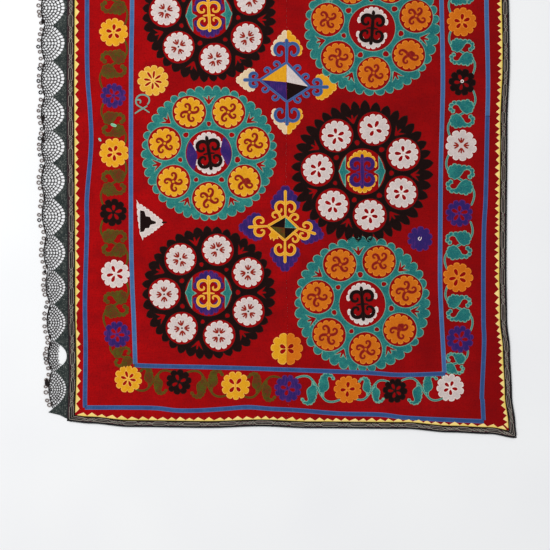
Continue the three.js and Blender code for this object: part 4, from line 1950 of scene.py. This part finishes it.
    def tangles(self, cloth: Cloth) -> list[bpy.types.Mesh]:
        """Returns the dark matted places and the loose loop."""
        flat = cloth.level(0.9)
        parts = []
        spots = (
            (-723, -85, 8), (-722, -150, 7), (-710, -905, 9),
            (-716, -560, 5), (-718, -330, 5), (-724, 215, 6),
        )
        for i, (x, y, size) in enumerate(spots):
            blob = [(x + px * 0.7, y + py * 1.3) for px, py in ring(size, 14, 0.12, i)]
            parts.append(Fill([blob], ANY_THREAD, (x, y), 1.2).mesh(flat, 2))
        loop = smooth([(-704, -800), (-716, -806), (-722, -816), (-716, -826), (-704, -830)], 4)
        parts.append(Stroke(loop, (1.8, 1.6, 1.8), ANY_THREAD, 0.7, 4).mesh(flat, 1))
        return parts

    def build(self, cloth: Cloth) -> tuple[bpy.types.Object, bpy.types.Object, bpy.types.Object]:
        """Returns the heading, the net and the picots."""
        finishes = [LACE_HEADING.material(), LACE_PICOT.material(), LACE_DARK.material()]
        solid = joined("lace_heading", [self.heading(cloth)], finishes[:1])
        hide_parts("lace_edging")
        nets = [self.net(cloth, scallop, i) for i, scallop in enumerate(self.scallops())]
        net = joined("lace_net", nets, [LACE_NET.material()])
        edge = joined("lace_picots", self.picots(cloth) + self.tangles(cloth), finishes)
        return solid, net, edge


# The room.


@dataclass
class Studio:
    """A pale floor, soft light from the upper left and a camera straight above."""

    view: Point = (-3.1, -570.4)
    width: float = 1705.0
    lens: float = 85.0
    floor_size: float = 6.0
    floor_drop: float = 0.0006

    def floor(self) -> None:
        """Makes the floor."""
        shade = Shade("pale_floor")
        speck = shade.noise(shade.place(), 3.0, 1.0)
        colour = shade.mix(speck.between(0.3, 0.7), (240, 241, 242), (237, 238, 240))
        material = shade.finish(colour, speck * 0.1 + 0.8, speck, 0.05, 0.0, 0.1)
        bm = bmesh.new()
        bmesh.ops.create_grid(bm, x_segments=1, y_segments=1, size=self.floor_size)
        mesh = bpy.data.meshes.new("floor")
        bm.to_mesh(mesh)
        bm.free()
        mesh.materials.append(material)
        floor = in_scene("floor", mesh)
        floor.location.z = -self.floor_drop

    def light(self) -> None:
        """Makes the lights."""
        world = bpy.data.worlds.new("studio")
        bpy.context.scene.world = world
        world.use_nodes = True
        sky = world.node_tree.nodes["Background"].inputs
        sky["Color"].default_value, sky["Strength"].default_value = (1.0, 1.0, 1.0, 1.0), 0.76
        for name, spot, size, power in (
            ("key", (-2.7, 1.4, 2.8), 1.4, 74.0),
            ("fill", (2.2, -2.4, 3.4), 3.0, 12.0),
        ):
            lamp = bpy.data.lights.new(name, "AREA")
            lamp.size = size
            lamp.energy = power
            holder = in_scene(name, lamp)
            holder.location = spot
            aim = Vector((self.view[0] * MM, self.view[1] * MM, 0)) - Vector(spot)
            holder.rotation_euler = aim.to_track_quat("-Z", "Y").to_euler()

    def camera(self) -> None:
        """Makes the camera, straight above the middle of the photograph."""
        camera = bpy.data.cameras.new("camera")
        camera.lens = self.lens
        holder = in_scene("camera", camera)
        distance = self.width * MM * self.lens / camera.sensor_width
        holder.location = (self.view[0] * MM, self.view[1] * MM, distance)
        bpy.context.scene.camera = holder
        bpy.context.scene.view_settings.view_transform = "Standard"


def panels(cloth: Cloth) -> tuple[Panel, Panel]:
    """Returns the left and right panels, which meet at the seam."""
    half = cloth.gap / 2
    left = Panel(
        "panel_left_cloth",
        lambda y: cloth.inner("left", y) + cloth.gap,
        lambda y: cloth.seam(y) - half,
        (0.664, 2.064),
    )
    right = Panel(
        "panel_right_cloth",
        lambda y: cloth.seam(y) + half,
        lambda y: cloth.inner("right", y) - cloth.gap,
        (0.692, 2.107),
    )
    return left, right


def main() -> None:
    """Builds the cloth piece by piece."""
    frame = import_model()
    LOG.info("nodes: %s", sorted(frame["nodes"]))
    studio = Studio()
    studio.camera()
    studio.floor()
    studio.light()

    cloth = Cloth()
    sheets = [(panel, panel.build(cloth)) for panel in panels(cloth)]
    for motif in [*medallions(), *diamonds(), Border(), FieldMotifs(), *bands()]:
        motif.build(cloth)
    LOG.info("embroidery: %d pieces", len(cloth.pieces))
    trims = []
    for side in ("left", "right", "foot", "head"):
        trims.append(Tape(side).build(cloth))
        trims.append(FoldedPoints(side).build(cloth))
    heading, net, edge = LaceEdging().build(cloth)

    seam = 2 * cloth.seam(0) * MM
    for panel, piece in sheets:
        on_left = panel.name == "panel_left_cloth"
        own = [p for p in cloth.pieces if (p.bound_box[0][0] + p.bound_box[6][0] < seam) == on_left]
        own += [trim for trim in trims if ("right" in trim.name) != on_left]


if __name__ == "__main__":
    logging.basicConfig(level=logging.INFO, format="%(name)s %(message)s")
    main()
